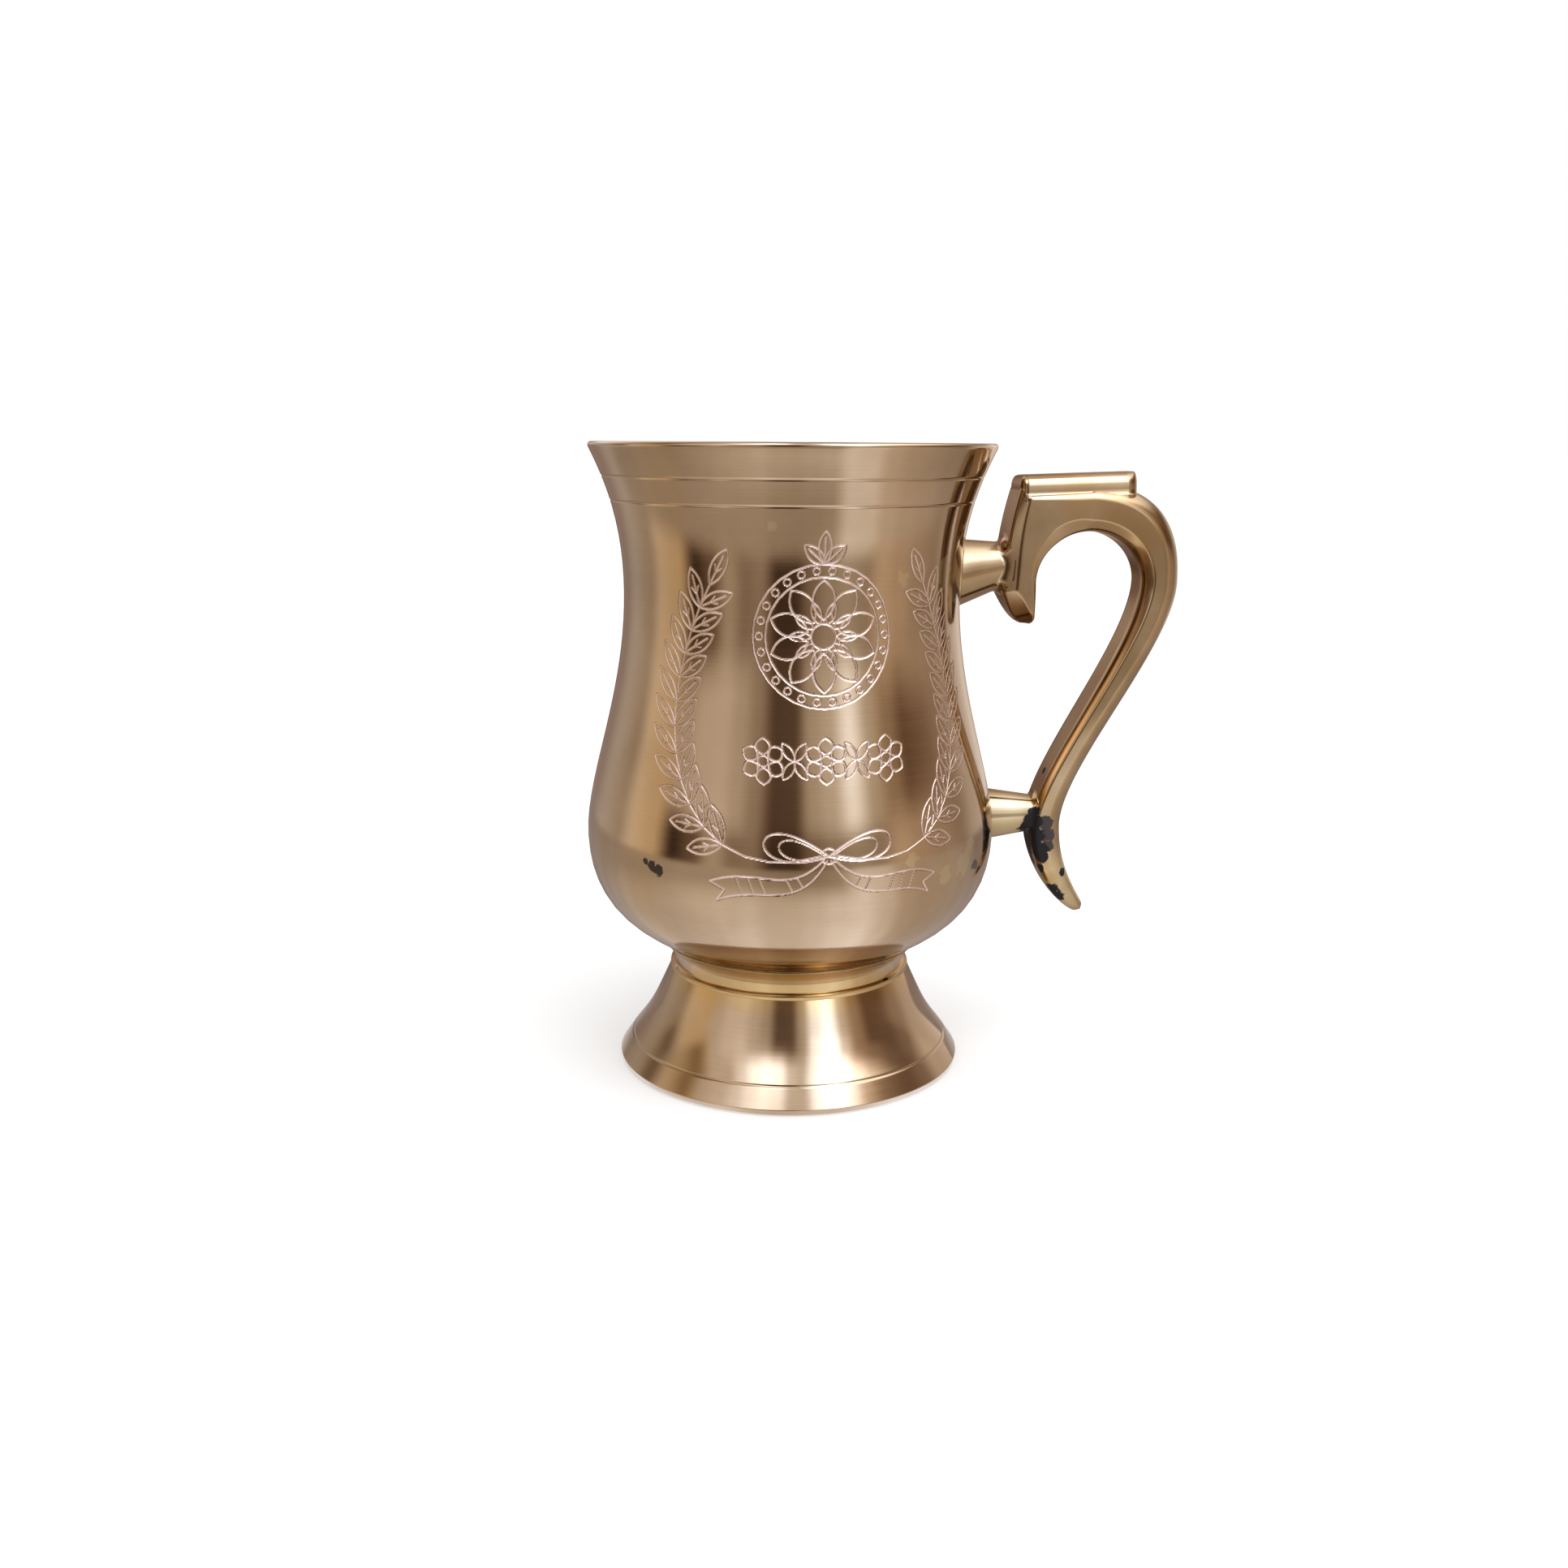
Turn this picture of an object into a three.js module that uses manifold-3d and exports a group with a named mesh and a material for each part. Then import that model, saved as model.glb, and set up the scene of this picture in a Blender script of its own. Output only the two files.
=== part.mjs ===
// A footed brass tankard: a bell-shaped bowl soldered on a hollow flared foot,
// with a cast scroll handle held off the bowl by two cone-shaped struts.
// Millimetres, +Z up. The front faces -Y and the handle points along +X.
// The origin is on the table, under the middle of the whole outline.

import * as THREE from "three";
import { mergeVertices, toCreasedNormals } from "three/addons/utils/BufferGeometryUtils.js";
import Module from "manifold-3d";

const wasm = await Module();
wasm.setup();

// Bowl: radii are outside the wall, heights are above the table
const RIM_HEIGHT = 142.6;
const RIM_RADIUS = 45.2;
const RIM_FLARE_DEG = 26;
const WAIST_HEIGHT = 110;
const WAIST_RADIUS = 37.8;
const BELLY_HEIGHT = 55.5;
const BELLY_RADIUS = 46.85;
const SEAT_HEIGHT = 29.4;
const SEAT_RADIUS = 30.3;
const SEAT_RISE_DEG = 50;
const BOWL_WALL = 1.6;
const BOWL_FLOOR = 2.2;

// How far the bowl's curves run on along their tangents at each of those stations
const RIM_EASE = 8;
const WAIST_EASE_ABOVE = 15;
const WAIST_EASE_BELOW = 23;
const BELLY_EASE_ABOVE = 12.7;
const BELLY_EASE_BELOW = 19.6;
const SEAT_EASE = 3.7;

// Turned lines: two below the rim and one above the foot's edge
const UPPER_RIM_LINE_DROP = 7.3;
const LOWER_RIM_LINE_DROP = 12.6;
const FOOT_LINE_HEIGHT = 5.7;
const LINE_WIDTH = 0.9;
const LINE_DEPTH = 0.4;

// Foot, from the table up to the bowl's seat
const FOOT_RADIUS = 40.1;
const FOOT_EDGE_HEIGHT = 1.4;
const FOOT_EDGE_ROUND = 0.9;
const FOOT_LINE_RADIUS = 37.1;
const FOOT_FLARE_DEG = 50;
const FOOT_FLARE_EASE = 7.5;
const BEAD_HEIGHT = 22.6;
const BEAD_RADIUS = 27.9;
const BEAD_THICKNESS = 1.1;
const BEAD_SWELL = 0.35;
const BEAD_EASE = 8.6;
const BEAD_LEAN_DEG = 25;
const NECK_RADIUS = 27.1;
const NECK_HEIGHT = 23.4;
const FOOT_WALL = 2;
const BASE_RING_WIDTH = 3.2;

// Spigot under the bowl, which drops into the foot's bore
const SPIGOT_RADIUS = 24.2;
const SPIGOT_WALL = 2;
const SPIGOT_DEPTH = 3.4;
const SPIGOT_CLEARANCE = 0.2;
const SEAM_HEIGHT = 0.8;
const SEAM_DEPTH = 0.9;
const SOLDER_CLEARANCE = 0.12;
const SOLDER_FILL = 0.7;

// Struts between the bowl and the handle, each with a tenon in the handle
const UPPER_STRUT_HEIGHT = 115.4;
const UPPER_STRUT_REACH = 9.8;
const UPPER_STRUT_RADIUS = 5.3;
const UPPER_STRUT_FOOT_RADIUS = 7.7;
const UPPER_STRUT_DROP = 1.7;
const LOWER_STRUT_HEIGHT = 57;
const LOWER_STRUT_REACH = 10.1;
const LOWER_STRUT_RADIUS = 4.4;
const LOWER_STRUT_FOOT_RADIUS = 6;
const LOWER_STRUT_DROP = 0;
const TENON_RADIUS = 2.8;
const TENON_LENGTH = 4;
const TENON_CLEARANCE = 0.3;

// Solder under the struts' feet and braze fillets at their handle ends
const SOLDER_THICKNESS = 0.6;
const SOLDER_LAP = 0.5;
const BRAZE_LEG = 0.6;
const JOINT_GAP = 0.3;

// Handle: the top hangs from the upper strut's end and the tail from the lower strut's end
const FRONT_THICKNESS = 8.1;
const FRONT_RISE = 17.4;
const FRONT_LEAN = 3.4;
const FRONT_UPRIGHT = 6;
const HOOK_TURN_DROP = 6;
const HOOK_DROP = 13.7;
const HOOK_REACH = 6.9;
const HOOK_TIP_WIDTH = 1.6;
const ARCH_SPRING_DROP = 3.7;
const ARCH_SPAN = 24.6;
const ARCH_RISE = 11.5;
const ARCH_CORNER_DEG = 130;
const ARCH_CROWN_THICKNESS = 10.6;
const ARCH_SIDE_THICKNESS = 9.3;
const ARCH_EASE = 14.6;
const LEG_EASE_ABOVE = 15;
const LEG_EASE_BELOW = 14.3;
const LEG_END_THICKNESS = 7.5;
const LEG_END_DROP = 2.6;
const TAIL_DROP = 24.9;
const TAIL_REACH = 13.1;
const TAIL_TIP_WIDTH = 2.2;
const TAIL_EASE = 9.2;
const TAIL_CURL = 7;
const TAIL_INNER_LEAN_DEG = 160;
const TAIL_OUTER_LEAN_DEG = 120;
const TAIL_TIP_LEAN_DEG = 40;
const HOOK_TIP_DEPTH = 4.4;
const FRONT_DEPTH = 13;
const ARCH_DEPTH = 12.4;
const LEG_DEPTH = 10.4;
const TAIL_TIP_DEPTH = 3.6;

// Bevels along the handle's inner and outer edge, from the hook's tip to the tail's tip
const HOOK_INNER_BEVEL = 0.6;
const HOOK_OUTER_BEVEL = 3.4;
const FRONT_INNER_BEVEL = 2;
const FRONT_OUTER_BEVEL = 1.3;
const TOP_INNER_BEVEL = 3.2;
const TOP_OUTER_BEVEL = 2.3;
const ARCH_INNER_BEVEL = 3.6;
const ARCH_OUTER_BEVEL = 2.8;
const LEG_INNER_BEVEL = 3.6;
const LEG_OUTER_BEVEL = 2.6;
const TAIL_INNER_BEVEL = 1.6;
const TAIL_OUTER_BEVEL = 1.2;
const LARGEST_BEVEL_SHARE = 0.42;
const LARGEST_BEVELS_SHARE = 0.92;

// Thumb rest on top of the handle
const THUMB_LENGTH = 27.4;
const THUMB_WIDTH = 11;
const THUMB_THICKNESS = 2.9;
const THUMB_SETBACK = -0.1;
const THUMB_RISE_DEG = 2.1;
const THUMB_CORNER = 1.8;
const THUMB_BEVEL = 1.2;

// Facets
const TURN_SEGMENTS = 48;
const STRUT_SEGMENTS = 24;
const LIP_STEPS = 5;
const BEAD_STEPS = 4;
const CREASE_DEG = 28;

const radians = THREE.MathUtils.degToRad;

// Materials

const brass = new THREE.MeshStandardMaterial({ color: 0xb4935f, roughness: 0.28, metalness: 1 });
const castBrass = new THREE.MeshStandardMaterial({ color: 0xac8a58, roughness: 0.33, metalness: 1 });
const solder = new THREE.MeshStandardMaterial({ color: 0x7d6a4c, roughness: 0.5, metalness: 1 });

// Geometry helpers

function point(x, y) {
  return new THREE.Vector2(x, y);
}

// A point a given length away from another, at an angle above the horizontal
function along(start, degrees, length) {
  const angle = radians(degrees);
  return point(start.x + Math.cos(angle) * length, start.y + Math.sin(angle) * length);
}

// Merge shared vertices and drop the triangles that collapse, such as those at a lathe's axis
function weld(geometry) {
  const bare = geometry.clone();
  bare.deleteAttribute("normal");
  bare.deleteAttribute("uv");
  const merged = mergeVertices(bare, 1e-4);
  const source = merged.index.array;
  const kept = [];
  for (let i = 0; i < source.length; i += 3) {
    const [a, b, c] = [source[i], source[i + 1], source[i + 2]];
    if (a !== b && b !== c && c !== a) kept.push(a, b, c);
  }
  merged.setIndex(kept);
  return merged;
}

function toSolid(geometry) {
  const welded = weld(geometry);
  const vertProperties = new Float32Array(welded.attributes.position.array);
  const triVerts = new Uint32Array(welded.index.array);
  return new wasm.Manifold(new wasm.Mesh({ numProp: 3, vertProperties, triVerts }));
}

function toGeometry(solid) {
  const mesh = solid.getMesh();
  const geometry = new THREE.BufferGeometry();
  geometry.setAttribute("position", new THREE.BufferAttribute(mesh.vertProperties, 3));
  geometry.setIndex(new THREE.BufferAttribute(mesh.triVerts, 1));
  return geometry;
}

// Turn an outline of (radius, height) points about the Z axis; it runs counter-clockwise
function revolve(outline, segments = TURN_SEGMENTS) {
  return new THREE.LatheGeometry(outline, segments).rotateX(Math.PI / 2);
}

// Shift a chain of points sideways, to the left of its direction for a positive distance
function offset(chain, distance) {
  return chain.map((here, i) => {
    const before = chain[Math.max(i - 1, 0)];
    const after = chain[Math.min(i + 1, chain.length - 1)];
    const step = after.clone().sub(before).normalize();
    return point(here.x - step.y * distance, here.y + step.x * distance);
  });
}

// Cut a V-shaped turned line into a chain of points that climbs from bottom to top
function addLine(chain, height) {
  const below = height - LINE_WIDTH / 2;
  const above = height + LINE_WIDTH / 2;
  const line = [
    point(radiusAt(chain, below), below),
    point(radiusAt(chain, height) - LINE_DEPTH, height),
    point(radiusAt(chain, above), above),
  ];
  const clear = chain.filter((p) => Math.abs(p.y - height) > LINE_WIDTH);
  return [...clear, ...line].sort((p, q) => p.y - q.y);
}

// Radius of a climbing chain of points at a height
function radiusAt(chain, height) {
  const next = Math.max(1, chain.findIndex((p) => p.y >= height));
  const low = chain[next - 1];
  const high = chain[next];
  return THREE.MathUtils.mapLinear(height, low.y, high.y, low.x, high.x);
}

// Bowl

const seat = point(SEAT_RADIUS, SEAT_HEIGHT);
const belly = point(BELLY_RADIUS, BELLY_HEIGHT);
const waist = point(WAIST_RADIUS, WAIST_HEIGHT);
const lipDrop = (BOWL_WALL / 2) * (1 + Math.sin(radians(RIM_FLARE_DEG)));
const lip = point(RIM_RADIUS, RIM_HEIGHT - lipDrop);

const underside = new THREE.CubicBezierCurve(
  seat,
  along(seat, SEAT_RISE_DEG, SEAT_EASE),
  along(belly, -90, BELLY_EASE_BELOW),
  belly,
);
const wall = new THREE.CubicBezierCurve(
  belly,
  along(belly, 90, BELLY_EASE_ABOVE),
  along(waist, -90, WAIST_EASE_BELOW),
  waist,
);
const flare = new THREE.CubicBezierCurve(
  waist,
  along(waist, 90, WAIST_EASE_ABOVE),
  along(lip, -90 - RIM_FLARE_DEG, RIM_EASE),
  lip,
);

// The foot's outline between its flare and the seat
const neck = point(NECK_RADIUS, NECK_HEIGHT);
const collar = new THREE.QuadraticBezierCurve(
  neck,
  point(NECK_RADIUS, (NECK_HEIGHT + SEAT_HEIGHT) / 2),
  seat,
);

// The bowl's outside, from the seat up to the lip
function bowlChain(detail) {
  return [
    ...underside.getPoints(7 * detail),
    ...wall.getPoints(6 * detail).slice(1),
    ...flare.getPoints(5 * detail).slice(1),
  ];
}
const fineBowl = bowlChain(8);

// The V-shaped seam between the bowl and the foot: its two edges and its root
const seamTop = point(radiusAt(fineBowl, SEAT_HEIGHT + SEAM_HEIGHT), SEAT_HEIGHT + SEAM_HEIGHT);
const seamBase = point(
  radiusAt(collar.getPoints(40), SEAT_HEIGHT - SEAM_HEIGHT),
  SEAT_HEIGHT - SEAM_HEIGHT,
);
const seamRoot = point(seamBase.x - SEAM_DEPTH, SEAT_HEIGHT);

function makeBowl() {
  const outside = bowlChain(1);
  const inside = offset(outside, BOWL_WALL);
  const floorTop = SEAT_HEIGHT + BOWL_FLOOR;
  const skin = [UPPER_RIM_LINE_DROP, LOWER_RIM_LINE_DROP].reduce(
    (chain, drop) => addLine(chain, RIM_HEIGHT - drop),
    outside.filter((p) => p.y > seamTop.y),
  );
  const lipCentre = lip.clone().add(inside.at(-1)).divideScalar(2);
  const lipArc = [];
  for (let i = 1; i < LIP_STEPS; i++) {
    lipArc.push(along(lipCentre, (180 * i) / LIP_STEPS - RIM_FLARE_DEG, BOWL_WALL / 2));
  }
  const spigotBase = SEAT_HEIGHT - SPIGOT_DEPTH;
  return revolve([
    point(0, SEAT_HEIGHT),
    point(SPIGOT_RADIUS - SPIGOT_WALL, SEAT_HEIGHT),
    point(SPIGOT_RADIUS - SPIGOT_WALL, spigotBase),
    point(SPIGOT_RADIUS, spigotBase),
    point(SPIGOT_RADIUS, SEAT_HEIGHT),
    seamRoot,
    seamTop,
    ...skin,
    ...lipArc,
    ...inside.filter((p) => p.y > floorTop).reverse(),
    point(radiusAt(offset(fineBowl, BOWL_WALL), floorTop), floorTop),
    point(0, floorTop),
  ]);
}

// The space that the bowl fills with its hollow closed, grown by a gap, for fitting parts to it
function bowlEnvelope(gap) {
  const grown = offset(bowlChain(1), -gap);
  return toSolid(revolve([point(0, grown[0].y), ...grown, point(0, grown.at(-1).y)]));
}

// Foot

const footLine = point(FOOT_LINE_RADIUS, FOOT_LINE_HEIGHT);
const beadBase = point(BEAD_RADIUS, BEAD_HEIGHT - BEAD_THICKNESS / 2);
const footFlare = new THREE.CubicBezierCurve(
  footLine,
  along(footLine, 180 - FOOT_FLARE_DEG, FOOT_FLARE_EASE),
  along(beadBase, BEAD_LEAN_DEG - 90, BEAD_EASE),
  beadBase,
);

function makeFoot() {
  const edge = point(FOOT_RADIUS, FOOT_EDGE_HEIGHT);
  const band = [edge, footLine];
  const sweep = footFlare.getPoints(8);
  const bead = [];
  for (let i = 1; i < BEAD_STEPS; i++) {
    const turn = (Math.PI * i) / BEAD_STEPS;
    const height = BEAD_HEIGHT - (BEAD_THICKNESS / 2) * Math.cos(turn);
    bead.push(point(BEAD_RADIUS + BEAD_SWELL * Math.sin(turn), height));
  }
  const throat = collar.getPoints(5).filter((p) => p.y < seamBase.y);
  const skin = addLine([...band, ...sweep.slice(1), ...bead, ...throat], FOOT_LINE_HEIGHT);
  const bore = SPIGOT_RADIUS + SPIGOT_CLEARANCE;
  const hollow = offset(sweep, FOOT_WALL).filter((p) => p.x > bore);
  const ringInner = FOOT_RADIUS - FOOT_EDGE_ROUND - BASE_RING_WIDTH;
  return revolve([
    point(ringInner, 0),
    point(FOOT_RADIUS - FOOT_EDGE_ROUND, 0),
    ...skin,
    seamBase,
    seamRoot,
    point(bore, SEAT_HEIGHT),
    point(bore, hollow.at(-1).y),
    ...hollow.reverse(),
    point(ringInner, 0),
  ]);
}

// Solder in the seam, a little clear of both its faces
function makeNeckSolder() {
  const top = seamRoot.clone().lerp(seamTop, SOLDER_FILL);
  const bottom = seamRoot.clone().lerp(seamBase, SOLDER_FILL);
  const inner = point(seamRoot.x + 3 * SOLDER_CLEARANCE, SEAT_HEIGHT);
  return revolve([
    inner,
    point(bottom.x, bottom.y + SOLDER_CLEARANCE),
    point(top.x, top.y - SOLDER_CLEARANCE),
    inner,
  ]);
}

// Handle

const upperFace = point(
  radiusAt(fineBowl, UPPER_STRUT_HEIGHT) + UPPER_STRUT_REACH,
  UPPER_STRUT_HEIGHT,
);
const lowerFace = point(
  radiusAt(fineBowl, LOWER_STRUT_HEIGHT) + LOWER_STRUT_REACH,
  LOWER_STRUT_HEIGHT,
);
const frontTop = point(upperFace.x + FRONT_LEAN, upperFace.y + FRONT_RISE);

// The handle's two edges in its own plane, stretch by stretch from the hook's tip to the tail's tip,
// with the depth and the bevels at both ends of each stretch
function handleStretches() {
  const hookBevels = point(HOOK_INNER_BEVEL, HOOK_OUTER_BEVEL);
  const frontBevels = point(FRONT_INNER_BEVEL, FRONT_OUTER_BEVEL);
  const topBevels = point(TOP_INNER_BEVEL, TOP_OUTER_BEVEL);
  const archBevels = point(ARCH_INNER_BEVEL, ARCH_OUTER_BEVEL);
  const legBevels = point(LEG_INNER_BEVEL, LEG_OUTER_BEVEL);
  const tailBevels = point(TAIL_INNER_BEVEL, TAIL_OUTER_BEVEL);
  const spring = point(upperFace.x + FRONT_THICKNESS, upperFace.y - ARCH_SPRING_DROP);
  const centre = point(spring.x + ARCH_SPAN / 2, spring.y);
  const crown = point(centre.x, centre.y + ARCH_RISE + ARCH_CROWN_THICKNESS);
  const innerSide = point(centre.x + ARCH_SPAN / 2, centre.y);
  const outerSide = point(innerSide.x + ARCH_SIDE_THICKNESS, centre.y);
  const outerHookTip = point(upperFace.x + HOOK_REACH, upperFace.y - HOOK_DROP);
  const innerHookTip = point(outerHookTip.x + HOOK_TIP_WIDTH, outerHookTip.y);
  const hookTurn = point(upperFace.x, upperFace.y - HOOK_TURN_DROP);
  const innerLegEnd = point(lowerFace.x, lowerFace.y - LEG_END_DROP);
  const outerLegEnd = point(lowerFace.x + LEG_END_THICKNESS, lowerFace.y - LEG_END_DROP);
  const innerTailTip = point(lowerFace.x + TAIL_REACH, lowerFace.y - TAIL_DROP);
  const outerTailTip = along(innerTailTip, TAIL_TIP_LEAN_DEG, TAIL_TIP_WIDTH);
  const arch = (from, to) =>
    new THREE.EllipseCurve(
      centre.x, centre.y, ARCH_SPAN / 2, ARCH_RISE, radians(from), radians(to), true,
    );
  return [
    {
      inner: new THREE.LineCurve(innerHookTip, spring),
      outer: new THREE.QuadraticBezierCurve(
        outerHookTip,
        point(hookTurn.x + HOOK_REACH / 2, outerHookTip.y),
        hookTurn,
      ),
      depths: [HOOK_TIP_DEPTH, FRONT_DEPTH],
      bevels: [hookBevels, frontBevels],
      steps: 6,
    },
    {
      inner: arch(180, ARCH_CORNER_DEG),
      outer: new THREE.QuadraticBezierCurve(
        hookTurn,
        point(upperFace.x, upperFace.y + FRONT_UPRIGHT),
        frontTop,
      ),
      depths: [FRONT_DEPTH, FRONT_DEPTH],
      bevels: [frontBevels, topBevels],
      steps: 6,
    },
    {
      inner: arch(ARCH_CORNER_DEG, 90),
      outer: new THREE.LineCurve(frontTop, crown),
      depths: [FRONT_DEPTH, FRONT_DEPTH],
      bevels: [topBevels, topBevels],
      steps: 4,
    },
    {
      inner: arch(90, 0),
      outer: new THREE.CubicBezierCurve(
        crown,
        along(crown, 0, ARCH_EASE),
        along(outerSide, 90, ARCH_EASE),
        outerSide,
      ),
      depths: [FRONT_DEPTH, ARCH_DEPTH],
      bevels: [topBevels, archBevels],
      steps: 10,
    },
    {
      inner: new THREE.CubicBezierCurve(
        innerSide,
        along(innerSide, -90, LEG_EASE_ABOVE),
        along(innerLegEnd, 90, LEG_EASE_BELOW),
        innerLegEnd,
      ),
      outer: new THREE.CubicBezierCurve(
        outerSide,
        along(outerSide, -90, LEG_EASE_ABOVE),
        along(outerLegEnd, 90, LEG_EASE_BELOW),
        outerLegEnd,
      ),
      depths: [ARCH_DEPTH, LEG_DEPTH],
      bevels: [archBevels, legBevels],
      steps: 14,
    },
    {
      inner: new THREE.CubicBezierCurve(
        innerLegEnd,
        along(innerLegEnd, -90, TAIL_EASE),
        along(innerTailTip, TAIL_INNER_LEAN_DEG, TAIL_CURL),
        innerTailTip,
      ),
      outer: new THREE.CubicBezierCurve(
        outerLegEnd,
        along(outerLegEnd, -90, TAIL_EASE),
        along(outerTailTip, TAIL_OUTER_LEAN_DEG, TAIL_CURL),
        outerTailTip,
      ),
      depths: [LEG_DEPTH, TAIL_TIP_DEPTH],
      bevels: [legBevels, tailBevels],
      steps: 10,
    },
  ];
}

// One bevelled section of the handle: a rectangle between its edges with the corners cut off
function handleSection(inner, outer, depth, bevels, grow) {
  const across = outer.clone().sub(inner);
  const width = across.length();
  across.normalize();
  const deepest = LARGEST_BEVEL_SHARE * depth;
  const nearBevel = Math.min(bevels.x, LARGEST_BEVEL_SHARE * width, deepest);
  const farBevel = Math.min(bevels.y, LARGEST_BEVELS_SHARE * width - nearBevel, deepest);
  const near = -grow;
  const far = width + grow;
  const half = depth / 2 + grow;
  const corners = [
    [near, nearBevel - half], [near + nearBevel, -half],
    [far - farBevel, -half], [far, farBevel - half],
    [far, half - farBevel], [far - farBevel, half],
    [near + nearBevel, half], [near, half - nearBevel],
  ];
  return corners.map(([u, y]) => [inner.x + across.x * u, y, inner.y + across.y * u]);
}

// Join a row of sections, each with as many points, into one closed skin with flat ends
function loft(sections) {
  const size = sections[0].length;
  const index = [];
  for (let row = 0; row + 1 < sections.length; row++) {
    for (let i = 0; i < size; i++) {
      const a = row * size + i;
      const b = row * size + ((i + 1) % size);
      index.push(a, b + size, b, a, a + size, b + size);
    }
  }
  const last = (sections.length - 1) * size;
  for (let i = 1; i + 1 < size; i++) {
    index.push(0, i, i + 1, last, last + i + 1, last + i);
  }
  const geometry = new THREE.BufferGeometry();
  geometry.setAttribute("position", new THREE.Float32BufferAttribute(sections.flat(2), 3));
  geometry.setIndex(index);
  return geometry;
}

// The depth grows fast from a thin tip and holds on for a while before it tapers to one
function handleBody(grow) {
  const sections = [];
  handleStretches().forEach(({ inner, outer, depths, bevels, steps }, number) => {
    for (let i = number ? 1 : 0; i <= steps; i++) {
      const t = i / steps;
      const swelling = depths[0] < depths[1] ? 1 - (1 - t) ** 2 : t ** 1.5;
      const depth = THREE.MathUtils.lerp(depths[0], depths[1], swelling);
      const bevel = bevels[0].clone().lerp(bevels[1], t);
      sections.push(handleSection(inner.getPoint(t), outer.getPoint(t), depth, bevel, grow));
    }
  });
  return toSolid(loft(sections));
}

// Thumb rest: a bevelled plate whose lower half is sunk in the handle's top
function thumbRest() {
  const length = THUMB_LENGTH / 2 - THUMB_BEVEL;
  const width = THUMB_WIDTH / 2 - THUMB_BEVEL;
  const round = Math.min(THUMB_CORNER, width);
  const plan = new THREE.Shape();
  plan.absarc(length - round, width - round, round, 0, Math.PI / 2);
  plan.absarc(round - length, width - round, round, Math.PI / 2, Math.PI);
  plan.absarc(round - length, round - width, round, Math.PI, Math.PI * 1.5);
  plan.absarc(length - round, round - width, round, Math.PI * 1.5, Math.PI * 2);
  const plate = new THREE.ExtrudeGeometry(plan, {
    depth: 2 * (THUMB_THICKNESS - THUMB_BEVEL),
    bevelThickness: THUMB_BEVEL,
    bevelSize: THUMB_BEVEL,
    bevelSegments: 2,
    curveSegments: 3,
  });
  plate.translate(THUMB_LENGTH / 2, 0, THUMB_BEVEL - THUMB_THICKNESS);
  plate.rotateY(-radians(THUMB_RISE_DEG));
  plate.translate(frontTop.x + THUMB_SETBACK, 0, frontTop.y);
  return toSolid(plate);
}

// A level peg through a strut's handle end, as deep in the handle as it is long outside
function peg(face, radius, depth) {
  const shape = new THREE.CylinderGeometry(radius, radius, 2 * depth, STRUT_SEGMENTS);
  shape.rotateZ(Math.PI / 2).translate(face.x, 0, face.y);
  return toSolid(shape);
}

// The hole in the handle for a strut's tenon
function socket(face) {
  return peg(face, TENON_RADIUS + TENON_CLEARANCE, TENON_LENGTH + TENON_CLEARANCE);
}

function makeHandle() {
  const solid = handleBody(0)
    .add(thumbRest())
    .subtract(socket(upperFace))
    .subtract(socket(lowerFace));
  return toGeometry(solid);
}

// Struts

// Place an outline turned about an axis that runs from the handle to the bowl, and let it sink
// towards the bowl so that its handle end stays upright
function strutTurn(strut, outline) {
  const shape = revolve(outline, STRUT_SEGMENTS).rotateY(-Math.PI / 2);
  const sink = new THREE.Matrix4().makeShear(0, strut.drop / strut.reach, 0, 0, 0, 0);
  shape.applyMatrix4(sink);
  return toSolid(shape.translate(strut.face.x, 0, strut.face.y));
}

// How deep a strut's end and its braze follow the handle's bevels
const strutHeel = Math.max(FRONT_OUTER_BEVEL, LEG_INNER_BEVEL);

// A strut's cone, grown by some extra, from within the handle's bevels to inside the bowl's wall
function cone(strut, extra) {
  const buried = strut.reach + strut.footRadius / 2;
  return strutTurn(strut, [
    point(0, -strutHeel),
    point(strut.radius + extra, -strutHeel),
    point(strut.radius + extra, 0),
    point(strut.footRadius + extra, strut.reach),
    point(strut.footRadius + extra, buried),
    point(0, buried),
  ]);
}

function makeStrut(strut) {
  const tenon = peg(strut.face, TENON_RADIUS, TENON_LENGTH);
  const solid = cone(strut, 0)
    .subtract(bowlEnvelope(SOLDER_THICKNESS + 2 * JOINT_GAP))
    .subtract(handleBody(JOINT_GAP))
    .add(tenon);
  return toGeometry(solid);
}

// The film of solder that a strut's foot stands on, a little wider than the foot
function makeStrutSolder(strut) {
  const solid = cone(strut, SOLDER_LAP)
    .intersect(bowlEnvelope(SOLDER_THICKNESS + JOINT_GAP))
    .subtract(bowlEnvelope(JOINT_GAP));
  return toGeometry(solid);
}

// The braze fillet in the corner between a strut and the handle
function makeBraze(strut) {
  const outer = strut.radius + JOINT_GAP + BRAZE_LEG;
  const ring = strutTurn(strut, [
    point(strut.radius, -strutHeel),
    point(outer, -strutHeel),
    point(outer, JOINT_GAP),
    point(strut.radius + JOINT_GAP + BRAZE_LEG / 3, BRAZE_LEG),
    point(strut.radius, BRAZE_LEG),
    point(strut.radius, -strutHeel),
  ]);
  const solid = ring
    .subtract(cone(strut, JOINT_GAP))
    .subtract(handleBody(JOINT_GAP));
  return toGeometry(solid);
}

const upperStrut = {
  face: upperFace,
  reach: UPPER_STRUT_REACH,
  radius: UPPER_STRUT_RADIUS,
  footRadius: UPPER_STRUT_FOOT_RADIUS,
  drop: UPPER_STRUT_DROP,
};
const lowerStrut = {
  face: lowerFace,
  reach: LOWER_STRUT_REACH,
  radius: LOWER_STRUT_RADIUS,
  footRadius: LOWER_STRUT_FOOT_RADIUS,
  drop: LOWER_STRUT_DROP,
};

// Assembly

const tankard = new THREE.Group();

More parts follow.
